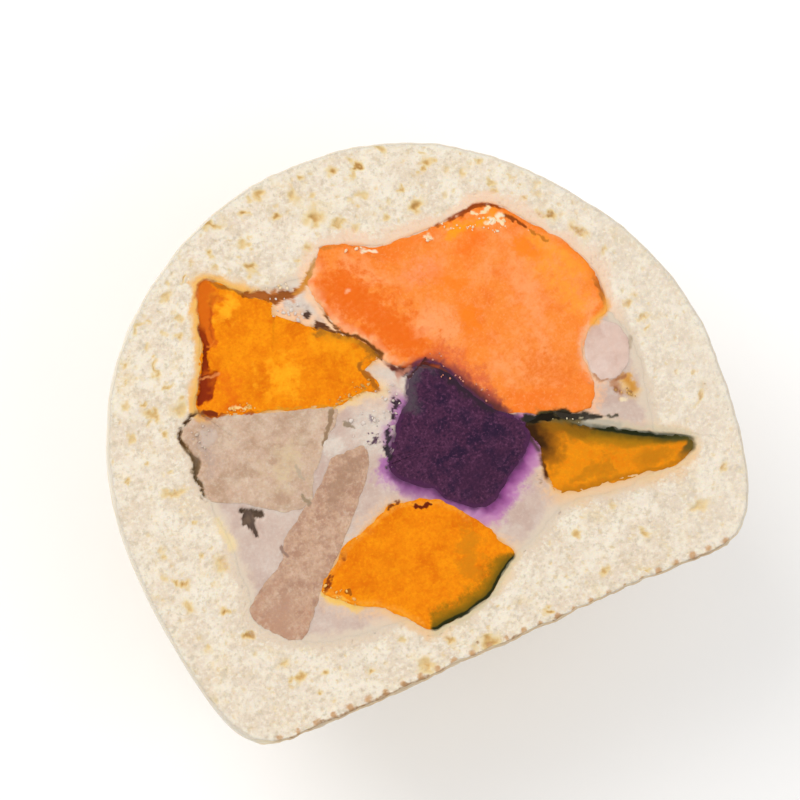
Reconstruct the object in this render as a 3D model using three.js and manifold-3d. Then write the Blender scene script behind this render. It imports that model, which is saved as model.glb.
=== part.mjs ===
// Half of a steamed multigrain mantou with a chunky vegetable filling, lying on its round back, cut side up.
// Millimetres, +Z up. The bun's own axis, from its flat bottom to its top, runs along +Y.
// The origin is on the surface that the part lies on, under the middle of its box.
import * as THREE from "three";
import { mergeVertices } from "three/addons/utils/BufferGeometryUtils.js";
import Module from "manifold-3d";

const wasm = await Module();
wasm.setup();

// The whole bun: a flat base, a soft curve up to the widest ring, the belly, and an ellipse above it.
const BUN_RADIUS = 44.7;
const BUN_HEIGHT = 73.9;
const BELLY_HEIGHT = 28.4;
const BASE_RADIUS = 34.2;
const BASE_CURVE_REACH = 8.4;
const BELLY_CURVE_REACH = 11.4;
const BUN_SEGMENTS = 64;
const PROFILE_STEPS = 12;

// The dough rose a little askew: above the belly the bun leans to one side.
const TOP_LEAN = -1.6;

// The half: the knife went through the bun's axis, and the round back is pressed flat where it lies.
const RESTING_DEPTH = 1.5;
const CUT_HEIGHT = BUN_RADIUS - RESTING_DEPTH;

// Pieces that touch keep this gap, and a pocket is cut from a little above the cut face.
const GAP = 0.3;
const CUT_CLEARANCE = 2;

// The filling. Corners are [across the cut face, height above the bun's flat bottom].
const FILLING = [
  {
    name: "sweet_potato",
    corners: [
      [-6.7, 57], [-5.4, 58.9], [-3.3, 60], [-2.4, 61.3], [0.8, 60.6], [5.4, 58.2], [14.2, 58], [20.7, 58.5],
      [23.6, 57.8], [26.6, 53.5], [30.4, 49.1], [32.8, 44.6], [32.9, 41], [32.3, 37.6], [29.7, 37.2], [26.5, 34],
      [26.3, 29], [25, 26], [23.5, 25.8], [16, 28.5], [11.8, 30.6], [9.4, 34.7], [6, 40.5], [1.9, 41.3],
      [0.4, 42.2], [-1.5, 46.4], [-5, 50.7], [-5.6, 54.6],
    ],
    rounding: 1.2,
    depth: 19,
    colour: 0xfa8c3c,
  },
  {
    name: "purple_sweet_potato",
    corners: [
      [-6.8, 28.6], [-6.3, 30.8], [-4.4, 32], [-0.2, 36.2], [1.8, 38.6], [4.6, 40.9], [6.3, 40], [9.6, 33.6],
      [11.6, 30.7], [14.2, 28.4], [14.8, 26.2], [13.6, 23.9], [8.6, 20.8], [6, 19], [3.8, 19], [0.3, 21.8],
      [-5.6, 26.2],
    ],
    rounding: 0.8,
    depth: 13,
    colour: 0x482a41,
  },
  {
    name: "pumpkin_wedge",
    corners: [
      [-20.2, 63.2], [-18.7, 62.8], [-14.6, 58.9], [-12, 57.2], [-12.6, 55.3], [-7.7, 51.2], [-2.2, 47.3],
      [-0.4, 44.5], [-3.9, 43.2], [-2.6, 40], [-5, 40.5], [-9, 40.1], [-20.4, 43.8], [-27.2, 45.7],
      [-27.9, 47.3], [-25.4, 51], [-22.3, 58],
    ],
    rounding: 0.7,
    depth: 14,
    colour: 0xf59417,
  },
  {
    name: "pumpkin_slice",
    corners: [
      [14.8, 27.3], [18.4, 27.7], [21.3, 24.6], [24.6, 22.7], [31.4, 18.9], [36.1, 16.3], [36, 14.9],
      [33, 13.5], [24.9, 14.7], [17.6, 15.8], [15.1, 16.8], [14.7, 19.6], [15.4, 23],
    ],
    rounding: 0.6,
    depth: 11,
    colour: 0xde8b13,
  },
  {
    name: "pumpkin_block",
    corners: [
      [-7.5, 24.1], [-1.6, 22.4], [0.6, 20.3], [3.6, 15.8], [5.8, 11.1], [4.8, 10.4], [2.4, 8.8], [0.2, 7.2],
      [-3.8, 6.2], [-9.4, 5.8], [-11.9, 9], [-14.6, 11.8], [-17.8, 13.1], [-21.2, 16.4], [-20.9, 17.8],
      [-16.6, 20.9],
    ],
    rounding: 0.7,
    depth: 13,
    colour: 0xf58f17,
  },
  {
    name: "taro_block",
    corners: [
      [-28.6, 46.6], [-20.4, 43.4], [-9.6, 39.7], [-10.2, 38.5], [-14, 34.8], [-16.6, 32], [-17.7, 29.9],
      [-18.9, 28.7], [-22.3, 29.4], [-27.2, 32.7], [-31.3, 34.8], [-31.6, 38], [-30.7, 41], [-31.4, 44.4],
    ],
    rounding: 0.8,
    depth: 13,
    colour: 0xcbae95,
  },
  {
    name: "taro_stick",
    corners: [
      [-12.5, 33.6], [-8.3, 33.2], [-8.2, 31.4], [-9.4, 29.4], [-13, 25.2], [-17, 21.4], [-21, 18],
      [-24.2, 14.1], [-26.3, 12.3], [-28.2, 12.4], [-31.3, 16], [-32, 18.2], [-30.6, 19.7], [-25.4, 22.7],
      [-23.2, 26], [-16.9, 29.8], [-14.3, 31.9],
    ],
    rounding: 0.6,
    depth: 9,
    colour: 0xc6a087,
  },
  {
    name: "yam_disc",
    corners: [
      [29.7, 36.8], [32.2, 36], [33.6, 34], [33.1, 31], [31.3, 28.7], [28.6, 28.5], [27, 29.7], [27.1, 33.8],
    ],
    rounding: 1,
    depth: 6,
    colour: 0xe3c2b3,
  },
];
const CHUNK_SQUARENESS = 5;
const CHUNK_RINGS = 5;

const MASH = {
  name: "taro_mash",
  corners: [
    [-31.2, 42], [-31, 34], [-30.7, 29], [-31, 24], [-31, 20], [-29, 13.8], [-26.2, 11.7], [-23.5, 10.3],
    [-18.5, 9.4], [-12, 8.9], [-6, 8], [3, 11], [6.3, 11.3], [9.7, 12], [12.8, 14], [15.4, 15.1], [20, 14.4],
    [25, 13.6], [30, 14.5], [31.4, 18.4], [32.4, 24], [33.6, 28], [34, 31.5], [33.8, 34.4], [32.4, 37.2],
    [28, 44], [18, 52], [6, 56], [-4.6, 58.8], [-9.8, 58.1], [-12.6, 59], [-15, 59.2], [-19, 57], [-24, 50],
  ],
  rounding: 2,
  depth: 30,
  colour: 0xd8bfaf,
};
const MASH_SQUARENESS = 2;
const MASH_RINGS = 7;

// A corner is rounded in one straight facet for about this much turn, in radians; a slighter turn stays a point.
const TURN_PER_FACET = 0.7;

const BREAD = { name: "bread", colour: 0xeddcc4 };

/** The bun's profile for a lathe, from the middle of its base, round the belly, to its top. */
function bunProfile() {
  const profile = new THREE.Path();
  profile.moveTo(0, 0);
  profile.lineTo(BASE_RADIUS, 0);
  const turnIn = BELLY_HEIGHT - BELLY_CURVE_REACH;
  profile.bezierCurveTo(BASE_RADIUS + BASE_CURVE_REACH, 0, BUN_RADIUS, turnIn, BUN_RADIUS, BELLY_HEIGHT);
  profile.absellipse(0, BELLY_HEIGHT, BUN_RADIUS, BUN_HEIGHT - BELLY_HEIGHT, 0, Math.PI / 2);
  return profile.getPoints(PROFILE_STEPS);
}

/** A manifold-3d solid from a closed three.js geometry. */
function solidFrom(geometry) {
  geometry.deleteAttribute("normal");
  geometry.deleteAttribute("uv");
  const merged = mergeVertices(geometry, 1e-4);
  return new wasm.Manifold(
    new wasm.Mesh({
      numProp: 3,
      vertProperties: merged.attributes.position.array,
      triVerts: new Uint32Array(merged.index.array),
    }),
  );
}

/** A three.js geometry from a manifold-3d solid. */
function geometryFrom(solid) {
  const mesh = solid.getMesh();
  const geometry = new THREE.BufferGeometry();
  geometry.setAttribute("position", new THREE.BufferAttribute(mesh.vertProperties, 3));
  geometry.setIndex(new THREE.BufferAttribute(mesh.triVerts, 1));
  return geometry;
}

/** A polygon with its corners rounded off by quadratic curves, as points. */
function roundedOutline(corners, rounding) {
  const points = corners.map(([x, y]) => new THREE.Vector2(x, y - BUN_HEIGHT / 2));
  const outline = points.flatMap((corner, i) => {
    const into = corner.clone().sub(points.at(i - 1));
    const onward = points[(i + 1) % points.length].clone().sub(corner);
    const turn = Math.abs(Math.atan2(into.cross(onward), into.dot(onward)));
    const facets = Math.round(turn / TURN_PER_FACET);
    if (facets === 0) return [corner];
    into.setLength(Math.min(rounding, 0.4 * into.length()));
    onward.setLength(Math.min(rounding, 0.4 * onward.length()));
    const start = corner.clone().sub(into);
    const end = corner.clone().add(onward);
    return new THREE.QuadraticBezierCurve(start, corner, end).getPoints(facets);
  });
  return THREE.ShapeUtils.isClockWise(outline) ? outline.reverse() : outline;
}

/** The outline's area centre. */
function centreOf(outline) {
  const centre = new THREE.Vector2();
  let area = 0;
  outline.forEach((p, i) => {
    const q = outline[(i + 1) % outline.length];
    const cross = p.x * q.y - q.x * p.y;
    area += cross;
    centre.add(p.clone().add(q).multiplyScalar(cross));
  });
  return centre.divideScalar(3 * area);
}

/**
 * A plug that hangs from the cut face: rings of one outline, drawn in towards its centre on a superellipse.
 * A pocket is the same plug, wider and deeper by the gap, that also stands above the cut face.
 */
function plug({ corners, rounding, depth }, squareness, ringCount, asPocket = false) {
  const flat = roundedOutline(corners, rounding);
  const centre = centreOf(flat);
  const wider = asPocket ? GAP : 0;
  const outline = flat.map((p, i) => {
    const along = flat[(i + 1) % flat.length].clone().sub(flat.at(i - 1)).normalize();
    return new THREE.Vector2(p.x + along.y * wider, p.y - along.x * wider);
  });
  const rings = asPocket ? [{ share: 1, z: CUT_HEIGHT + CUT_CLEARANCE }] : [];
  for (let i = 0; i < ringCount; i++) {
    const turn = (Math.PI / 2) * (i / ringCount);
    rings.push({
      share: Math.cos(turn) ** (2 / squareness),
      z: CUT_HEIGHT - (depth + wider) * Math.sin(turn) ** (2 / squareness),
    });
  }
  const positions = [];
  for (const { share, z } of rings) {
    for (const p of outline) {
      const point = centre.clone().lerp(p, share);
      positions.push(point.x, point.y, z);
    }
  }
  const topPole = positions.length / 3;
  positions.push(centre.x, centre.y, rings[0].z, centre.x, centre.y, CUT_HEIGHT - depth - wider);
  const count = outline.length;
  const faces = [];
  for (let j = 0; j < count; j++) {
    const next = (j + 1) % count;
    faces.push(topPole, j, next);
    for (let i = 0; i < rings.length - 1; i++) {
      const [a, b, c, d] = [i * count + j, i * count + next, (i + 1) * count + j, (i + 1) * count + next];
      faces.push(a, c, b, b, c, d);
    }
    const last = (rings.length - 1) * count;
    faces.push(last + j, topPole + 1, last + next);
  }
  const geometry = new THREE.BufferGeometry();
  geometry.setAttribute("position", new THREE.Float32BufferAttribute(positions, 3));
  geometry.setIndex(faces);
  return solidFrom(geometry);
}

/** The half bun before its pockets: the leaned lathe of the whole bun, from its resting face to the cut. */
function halfBun() {
  const bun = new THREE.LatheGeometry(bunProfile(), BUN_SEGMENTS);
  const place = bun.attributes.position;
  for (let i = 0; i < place.count; i++) {
    const rise = Math.max(0, place.getY(i) - BELLY_HEIGHT) / (BUN_HEIGHT - BELLY_HEIGHT);
    place.setX(i, place.getX(i) + TOP_LEAN * rise);
  }
  bun.translate(0, -BUN_HEIGHT / 2, CUT_HEIGHT);
  const kept = new THREE.BoxGeometry(3 * BUN_RADIUS, 2 * BUN_HEIGHT, CUT_HEIGHT);
  kept.translate(0, 0, CUT_HEIGHT / 2);
  return solidFrom(bun).intersect(solidFrom(kept));
}

/** A named mesh in the part's colour. */
function pieceOf({ name, colour }, solid) {
  const material = new THREE.MeshStandardMaterial({ color: colour, roughness: 0.75, metalness: 0 });
  const mesh = new THREE.Mesh(geometryFrom(solid), material);
  mesh.name = name;
  return mesh;
}

const mantou = new THREE.Group();
let bread = halfBun();
let mash = plug(MASH, MASH_SQUARENESS, MASH_RINGS);
bread = bread.subtract(plug(MASH, MASH_SQUARENESS, MASH_RINGS, true));
const pocketsBefore = [];
for (const chunk of FILLING) {
  const pocket = plug(chunk, CHUNK_SQUARENESS, CHUNK_RINGS, true);
  const solid = pocketsBefore.reduce(
    (left, earlier) => left.subtract(earlier),
    plug(chunk, CHUNK_SQUARENESS, CHUNK_RINGS),
  );
  mantou.add(pieceOf(chunk, solid));
  bread = bread.subtract(pocket);
  mash = mash.subtract(pocket);
  pocketsBefore.push(pocket);
}
mantou.add(pieceOf(MASH, mash));
mantou.add(pieceOf(BREAD, bread));

export default mantou;
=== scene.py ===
import itertools
import logging
import math
from collections.abc import Callable, Iterable
from dataclasses import dataclass, field
from enum import Enum, IntEnum
from functools import partial

import bpy
import numpy as np
from mathutils import Matrix, Vector


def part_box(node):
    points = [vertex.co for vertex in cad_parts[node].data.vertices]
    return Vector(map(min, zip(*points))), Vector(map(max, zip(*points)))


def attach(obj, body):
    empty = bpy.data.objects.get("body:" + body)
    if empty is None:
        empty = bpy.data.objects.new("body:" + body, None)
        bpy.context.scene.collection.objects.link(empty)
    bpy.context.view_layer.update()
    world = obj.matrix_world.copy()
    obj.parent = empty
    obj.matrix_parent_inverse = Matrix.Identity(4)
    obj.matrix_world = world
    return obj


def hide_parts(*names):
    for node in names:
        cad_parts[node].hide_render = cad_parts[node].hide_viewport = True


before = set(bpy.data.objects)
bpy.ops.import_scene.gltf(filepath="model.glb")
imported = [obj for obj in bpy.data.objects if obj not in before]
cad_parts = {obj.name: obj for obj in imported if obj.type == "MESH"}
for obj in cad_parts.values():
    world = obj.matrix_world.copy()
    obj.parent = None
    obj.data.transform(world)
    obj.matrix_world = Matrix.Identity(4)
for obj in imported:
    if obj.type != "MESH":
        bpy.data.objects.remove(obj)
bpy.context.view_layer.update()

LOG = logging.getLogger("mantou")
MM = 0.001
ROOT = "root"
CUT_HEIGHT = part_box("bread")[1].z / MM
PUMPKINS = ("pumpkin_wedge", "pumpkin_block", "pumpkin_slice")
TINT, TAN, BASE = "tint", "tan", "base"
HASH_PRIMES = (73856093, 19349663, 83492791)
HASH_FACTORS = (668265263, 1274126177, 374761393)

Array = np.ndarray
Piece = bpy.types.Object
Material = bpy.types.Material
Socket = bpy.types.NodeSocket
Colour = tuple[float, float, float]
Layer = tuple[str, Array]
Place = tuple[float, float]


# --- Numbers ----------------------------------------------------------


class Seed(IntEnum):
    """The first of the seeds that each pattern draws from."""

    SWELL = 31
    RIPPLE = 32
    CUT_RIM = 33
    BASE_EDGE = 34
    POCKET = 41
    POCKET_GRAIN = 42
    CUT = 43
    CRUMB = 44
    STAIN = 51
    BASE_STAIN = 52
    WEAVE = 53
    SKIN_EDGE = 62
    MASH = 72
    MASH_STAIN = 91
    LARGE_PORES = 101
    MIDDLE_PORES = 111
    SMALL_PORES = 121
    TINY_PORES = 131
    CHUNK = 200
    BREAD_BITS = 301
    PURPLE_BITS = 302
    PUMPKIN_BITS = 303
    MASH_BITS = 304
    DRIFT = 401
    FINE_DRIFT = 411
    MARK = 500


def shade(code: str) -> Colour:
    """A linear colour from a hexadecimal display colour.

    Args:
        code: Six hexadecimal digits after a hash.

    Returns:
        Linear red, green and blue, each display value raised on the usual two-part curve.
    """
    parts = [int(code[i : i + 2], 16) / 255 for i in (1, 3, 5)]
    return tuple(c / 12.92 if c <= 0.04045 else ((c + 0.055) / 1.055) ** 2.4 for c in parts)


def ease(low: float, high: float, value: Array) -> Array:
    """Rises from 0 at low to 1 at high on a cubic with level ends, and falls where low is above high."""
    share = np.clip((value - low) / (high - low), 0, 1)
    return share * share * (3 - 2 * share)


def lattice_random(cells: Array, seed: int) -> Array:
    """A repeatable number from 0 to 1 for each cell of a lattice.

    Args:
        cells: Whole-number coordinates, in the last axis.
        seed: Picks one of many sets of numbers.

    Returns:
        One number a cell, from the cell's coordinates times primes, mixed by shifts and products.
    """
    mixed = (cells * np.array(HASH_PRIMES[: cells.shape[-1]])).sum(-1) + seed * HASH_FACTORS[0]
    mixed = (mixed ^ (mixed >> 13)) * HASH_FACTORS[1]
    mixed = (mixed ^ (mixed >> 16)) * HASH_FACTORS[2]
    return ((mixed ^ (mixed >> 15)) & 0xFFFFFF) / 0xFFFFFF


@dataclass(frozen=True)
class Wobble:
    """Smooth seeded noise: random numbers on a lattice of size mm, blended between its points on a cubic."""

    size: float
    seed: int
    octaves: int = 1

    def at(self, points: Array) -> Array:
        """The noise at points of two or three coordinates in mm.

        Args:
            points: Coordinates, in the last axis.

        Returns:
            Values from about -1 to 1. Each octave has half the size and half the strength of the last.
        """
        total = np.zeros(points.shape[:-1])
        for octave in range(self.octaves):
            total += self._layer(points * 2**octave / self.size, self.seed + 17 * octave) / 2**octave
        return total * 2 / (2 - 0.5 ** (self.octaves - 1)) / 1.3

    @staticmethod
    def _layer(places: Array, seed: int) -> Array:
        """One octave of the noise.

        Args:
            places: Coordinates counted in cells, in the last axis.
            seed: Picks the octave's numbers.

        Returns:
            Values from -1 to 1: the corners of each point's cell, weighted by the eased distance from them.
        """
        home = np.floor(places).astype(np.int64)
        share = places - home
        share = share * share * (3 - 2 * share)
        total = np.zeros(places.shape[:-1])
        for corner in itertools.product((0, 1), repeat=places.shape[-1]):
            weight = np.where(np.array(corner) == 1, share, 1 - share).prod(-1)
            total += weight * lattice_random(home + np.array(corner), seed)
        return total * 2 - 1


@dataclass(frozen=True)
class Pores:
    """Shallow pits scattered one to a cell of a square lattice, with soft crooked rims and tan floors.

    cell is the lattice's pitch and radius the range of the pits' radii, in mm. chance is the share of the
    cells that have a pit, deep its depth as a share of its radius, and tan the strongest floor's colour.
    """

    cell: float
    radius: tuple[float, float]
    chance: float
    deep: float
    tan: float
    seed: int

    def at(self, points: Array, crowding: Callable) -> tuple[Array, Array]:
        """How deep and how tan the pits are at points of the cut plane.

        Args:
            points: Places in the cut plane, in mm.
            crowding: Gives, for places, the factor on the chance of a pit there.

        Returns:
            The deepest pit's depth in mm and the strongest tan from 0 to 1 at each point. Both rise to
            their full value near a pit's middle, by the distance counted in radii along the pit's own long
            and short axes: the depth from its rim, and the tan from twice as far out.
        """
        home = np.floor(points / self.cell).astype(np.int64)
        twist = [Wobble(self.radius[1] * 0.85, self.seed + k, 3).at(points) for k in (8, 9)]
        bent = points + 0.5 * self.radius[1] * np.stack(twist, -1)
        depth, tan = np.zeros(len(points)), np.zeros(len(points))
        for offset in itertools.product((-1, 0, 1), repeat=2):
            cell = home + np.array(offset)
            x, y, size, turn, slim, luck, tone = (lattice_random(cell, self.seed + k) for k in range(7))
            middle = (cell + 0.15 + 0.7 * np.stack([x, y], -1)) * self.cell
            radius = self.radius[0] * (self.radius[1] / self.radius[0]) ** (size**1.6)
            turn = turn * math.pi
            away = bent - middle
            along = away[:, 0] * np.cos(turn) + away[:, 1] * np.sin(turn)
            across = away[:, 1] * np.cos(turn) - away[:, 0] * np.sin(turn)
            stretch = 1 + 0.6 * slim**2
            reach = np.hypot(along / stretch, across * stretch) / radius
            there = luck < self.chance * crowding(middle)
            stain = 0.45 * ease(2.1, 0.5, reach) + 0.55 * ease(1.2, 0.2, reach)
            pit = self.deep * radius * ease(1.1, 0.15, reach)
            depth = np.maximum(depth, np.where(there, pit, 0))
            tan = np.maximum(tan, np.where(there, self.tan * (0.3 + 0.7 * tone) * stain, 0))
        return depth, tan


# --- Outlines in the cut plane ----------------------------------------


@dataclass
class Outline:
    """A closed line in the cut plane, anticlockwise, in mm."""

    points: Array

    BATCH = 4096

    @property
    def following(self) -> Array:
        """Each point's next point."""
        return np.roll(self.points, -1, 0)

    @property
    def centre(self) -> Array:
        """The area centre, from the triangles that the origin makes with each side."""
        cross = self.points[:, 0] * self.following[:, 1] - self.following[:, 0] * self.points[:, 1]
        return ((self.points + self.following) * cross[:, None]).sum(0) / (3 * cross.sum())

    @property
    def normals(self) -> Array:
        """The outward direction at each point.

        Returns:
            Unit vectors, each square to the line through the point's two neighbours.
        """
        along = self.following - np.roll(self.points, 1, 0)
        along /= np.linalg.norm(along, axis=1, keepdims=True)
        return np.stack([along[:, 1], -along[:, 0]], 1)

    def evened(self, count: int) -> "Outline":
        """The same line through evenly spread points.

        Args:
            count: How many points it has.

        Returns:
            The line, its points as far apart along it as one another.
        """
        closed = np.vstack([self.points, self.points[:1]])
        along = np.concatenate([[0], np.cumsum(np.linalg.norm(np.diff(closed, axis=0), axis=1))])
        stops = np.arange(count) / count * along[-1]
        return Outline(np.stack([np.interp(stops, along, closed[:, i]) for i in range(2)], 1))

    def softened(self, reach: float) -> "Outline":
        """The line averaged along itself: its harmonics fade on a bell curve of width reach, in mm.

        Args:
            reach: The bell curve's standard deviation along the line. The points are evenly far apart.

        Returns:
            The softer line.
        """
        length = np.linalg.norm(self.following - self.points, axis=1).sum()
        spectrum = np.fft.fft(self.points[:, 0] + 1j * self.points[:, 1])
        cycles = np.fft.fftfreq(len(self.points), 1 / len(self.points))
        line = np.fft.ifft(spectrum * np.exp(-2 * (math.pi * cycles * reach / length) ** 2))
        return Outline(np.stack([line.real, line.imag], 1))

    def sharpened(self, reach: float, amount: float) -> "Outline":
        """The line with its corners drawn out: moved away from its softer self, amount times over."""
        return Outline(self.points + amount * (self.points - self.softened(reach).points)).softened(0.1)

    def shifted(self, amount: Array | float) -> "Outline":
        """The line moved outwards by amount, in mm, at each point."""
        return Outline(self.points + self.normals * np.reshape(amount, (-1, 1)))

    def reach_at(self, bearings: Array, middle: Array) -> Array:
        """How far the line is from a point inside it, along bearings.

        Args:
            bearings: Angles from +X, in radians.
            middle: The point inside.

        Returns:
            The farthest crossing of each ray with the line's sides, from the sides' ends on either side of
            the ray.
        """
        ray = np.stack([np.cos(bearings), np.sin(bearings)], 1)[:, None, :]
        start = (self.points - middle)[None]
        end = (self.following - middle)[None]
        side_start = ray[..., 0] * start[..., 1] - ray[..., 1] * start[..., 0]
        side_end = ray[..., 0] * end[..., 1] - ray[..., 1] * end[..., 0]
        crossed = side_start * side_end <= 0
        share = side_start / np.where(side_start == side_end, 1, side_start - side_end)
        reach = ((start + (end - start) * share[..., None]) * ray).sum(-1)
        return np.where(crossed, reach, 0).max(1)

    def signed_distance(self, points: Array) -> Array:
        """How far points are from the line.

        Args:
            points: Places in the cut plane, taken in batches of about BATCH.

        Returns:
            The distance to the nearest point of any side, in mm, negative inside the line. A point is inside
            where a ray from it to the right crosses an odd number of sides.
        """
        start, step = self.points, self.following - self.points
        result = np.empty(len(points))
        for block in np.array_split(np.arange(len(points)), max(1, len(points) // self.BATCH)):
            away = points[block][:, None, :] - start
            share = np.clip((away * step).sum(-1) / (step**2).sum(-1), 0, 1)
            nearest = np.sqrt(((away - share[..., None] * step) ** 2).sum(-1).min(1))
            above = away[..., 1] < 0
            rise = np.where(step[:, 1] == 0, 1, step[:, 1])
            left_of = away[..., 0] < away[..., 1] * step[:, 0] / rise
            crossed = (above != (np.roll(above, -1, 1))) & left_of
            result[block] = np.where(crossed.sum(1) % 2 == 1, -nearest, nearest)
        return result


class DistanceMap:
    """Signed distances to an outline, kept at the nodes of a square grid in mm and read between them."""

    STEP = 0.5
    HALF_WIDTH = 52.0

    def __init__(self, outline: Outline) -> None:
        """Fills the grid once, for any number of later readings.

        Args:
            outline: The closed line.
        """
        axis = np.arange(-self.HALF_WIDTH, self.HALF_WIDTH + self.STEP, self.STEP)
        nodes = np.stack(np.meshgrid(axis, axis, indexing="ij"), -1)
        self.table = outline.signed_distance(nodes.reshape(-1, 2)).reshape(len(axis), len(axis))

    def at(self, points: Array) -> Array:
        """Reads the grid.

        Args:
            points: Places in the cut plane.

        Returns:
            The distance at each, in mm, blended evenly from the four nodes around it.
        """
        place = np.clip((points + self.HALF_WIDTH) / self.STEP, 0, len(self.table) - 1.001)
        home = place.astype(int)
        x, y = (place - home).T
        i, j = home.T
        lower = self.table[i, j] * (1 - x) + self.table[i + 1, j] * x
        upper = self.table[i, j + 1] * (1 - x) + self.table[i + 1, j + 1] * x
        return lower * (1 - y) + upper * y


def cut_loops(node: str) -> list[Outline]:
    """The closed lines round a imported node's face in the cut plane, the one with most points first.

    Args:
        node: The node's name.

    Returns:
        The sides that only one of the face's triangles has, joined end to end.
    """
    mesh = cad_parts[node].data
    place = np.empty(len(mesh.vertices) * 3)
    mesh.vertices.foreach_get("co", place)
    corners = np.empty(len(mesh.loops), dtype=np.int64)
    mesh.loops.foreach_get("vertex_index", corners)
    place, twin = np.unique(np.round(place.reshape(-1, 3) / MM, 3), axis=0, return_inverse=True)
    triangles = twin.reshape(-1)[corners].reshape(-1, 3)
    flat = triangles[(place[triangles][:, :, 2] > CUT_HEIGHT - 0.01).all(1)]
    sides = {tuple(side) for side in np.concatenate([flat[:, [0, 1]], flat[:, [1, 2]], flat[:, [2, 0]]])}
    following = {a: b for a, b in sides if (b, a) not in sides}
    loops = []
    while following:
        first = min(following)
        loop = [first, following.pop(first)]
        while loop[-1] != first:
            loop.append(following.pop(loop[-1]))
        loops.append(place[loop[:-1], :2])
    loops.sort(key=lambda points: (-len(points), points[0][0]))
    return [Outline(points) for points in loops]


# --- Meshes -----------------------------------------------------------


@dataclass
class Tint:
    """Colours laid over one another on a surface, as one colour and how far it covers, point by point."""

    colour: Array
    cover: Array

    @classmethod
    def clear(cls, count: int, code: str) -> "Tint":
        """No cover yet at any of count points, over a display colour."""
        return cls(np.tile(np.array(shade(code)), (count, 1)), np.zeros(count))

    def lay(self, layers: Iterable[Layer], part: slice = slice(None)) -> "Tint":
        """Lays display colours over what is there, one after another, as glazes are laid.

        Args:
            layers: Each colour, and how far it covers at each point of the part, from 0 to 1.
            part: The points that they lie on.

        Returns:
            The tint itself.
        """
        for code, amount in layers:
            amount = np.clip(amount, 0, 1)
            below = self.cover[part] * (1 - amount)
            total = np.maximum(amount + below, 1e-6)
            mixed = np.array(shade(code)) * amount[:, None] + self.colour[part] * below[:, None]
            covered = (amount + below > 1e-6)[:, None]
            self.colour[part] = np.where(covered, mixed / total[:, None], self.colour[part])
            self.cover[part] = amount + below
        return self

    def store(self, piece: Piece) -> None:
        """Puts the tint on a ring surface, for its finish to read."""
        store(piece, TINT, with_poles(np.column_stack([self.colour, self.cover])))


def with_poles(values: Array) -> Array:
    """Values for the points of a ring surface, with the first and the last repeated for its two poles."""
    return np.concatenate([values, values[:1], values[-1:]])


def store(piece: Piece, name: str, values: Array) -> None:
    """Stores a number, or a colour and its cover, for each point of a piece.

    Args:
        piece: The piece.
        name: The attribute's name, by which the finish reads it.
        values: One number or one row of four for each point.
    """
    kind, channel = ("FLOAT", "value") if values.ndim == 1 else ("FLOAT_COLOR", "color")
    layer = piece.data.attributes.new(name, kind, "POINT")
    layer.data.foreach_set(channel, values.astype(np.float32).ravel())


def make_mesh(name: str, points: Array, faces: Array, sizes: Array) -> Piece:
    """A smooth mesh object from arrays.

    Args:
        name: The piece's name.
        points: The vertices, in mm.
        faces: The vertex numbers of all faces, one face after another.
        sizes: How many of them each face takes.

    Returns:
        The object, at the origin, with its place in its mesh.
    """
    mesh = bpy.data.meshes.new(name)
    mesh.vertices.add(len(points))
    mesh.vertices.foreach_set("co", (points * MM).astype(np.float32).ravel())
    mesh.loops.add(len(faces))
    mesh.loops.foreach_set("vertex_index", faces.astype(np.int32))
    mesh.polygons.add(len(sizes))
    starts = np.concatenate([[0], np.cumsum(sizes)[:-1]])
    mesh.polygons.foreach_set("loop_start", starts.astype(np.int32))
    mesh.polygons.foreach_set("use_smooth", np.ones(len(sizes), dtype=bool))
    mesh.update(calc_edges=True)
    mesh.validate()
    piece = bpy.data.objects.new(name, mesh)
    bpy.context.scene.collection.objects.link(piece)
    return piece


def net(rows: int, columns: int) -> tuple[Array, Array]:
    """The faces of a closed surface through rings of points, facing outwards.

    Args:
        rows: How many rings there are, each anticlockwise seen from where they start.
        columns: How many points each has. The first and the last ring's poles come after all of them.

    Returns:
        The vertex numbers of squares between the rings and of a fan at each end, one face after another,
        and how many of them each face takes.
    """
    here = np.arange(columns)
    after = (here + 1) % columns
    start = np.arange(rows - 1)[:, None] * columns
    squares = np.stack([start + here, start + columns + here, start + columns + after, start + after], -1)
    first = np.stack([np.full(columns, rows * columns), here, after], -1)
    last_row = (rows - 1) * columns
    last = np.stack([last_row + here, np.full(columns, rows * columns + 1), last_row + after], -1)
    faces = np.concatenate([squares.ravel(), first.ravel(), last.ravel()])
    return faces, np.concatenate([np.full(squares.size // 4, 4), np.full(2 * columns, 3)])


def ring_surface(name: str, rings: Array) -> Piece:
    """A closed surface through rings of points, each of the two end rings drawn to its middle."""
    points = np.concatenate([rings.reshape(-1, 3), rings[:1].mean(1), rings[-1:].mean(1)])
    return make_mesh(name, points, *net(*rings.shape[:2]))


def plug_rings(outline: Array, middle: Array, depth: float, fullness: float, count: int) -> Array:
    """Rings that hang below an outline in the cut plane and draw in towards its middle.

    Args:
        outline: The outline's points, in mm.
        middle: The point that they draw in to.
        depth: How far down the last ring's pole is.
        fullness: The power of the superellipse that the sides follow.
        count: How many rings there are.

    Returns:
        Rings from just under the outline down to the pole, closer together near the cut.
    """
    drop = (np.arange(1, count + 1) / (count + 0.25)) ** 1.6
    share = (1 - drop**fullness) ** (1 / fullness)
    flat = middle + (outline - middle) * share[:, None, None]
    level = np.broadcast_to((CUT_HEIGHT - depth * drop)[:, None, None], (*flat.shape[:2], 1))
    return np.concatenate([flat, level], -1)


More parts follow.
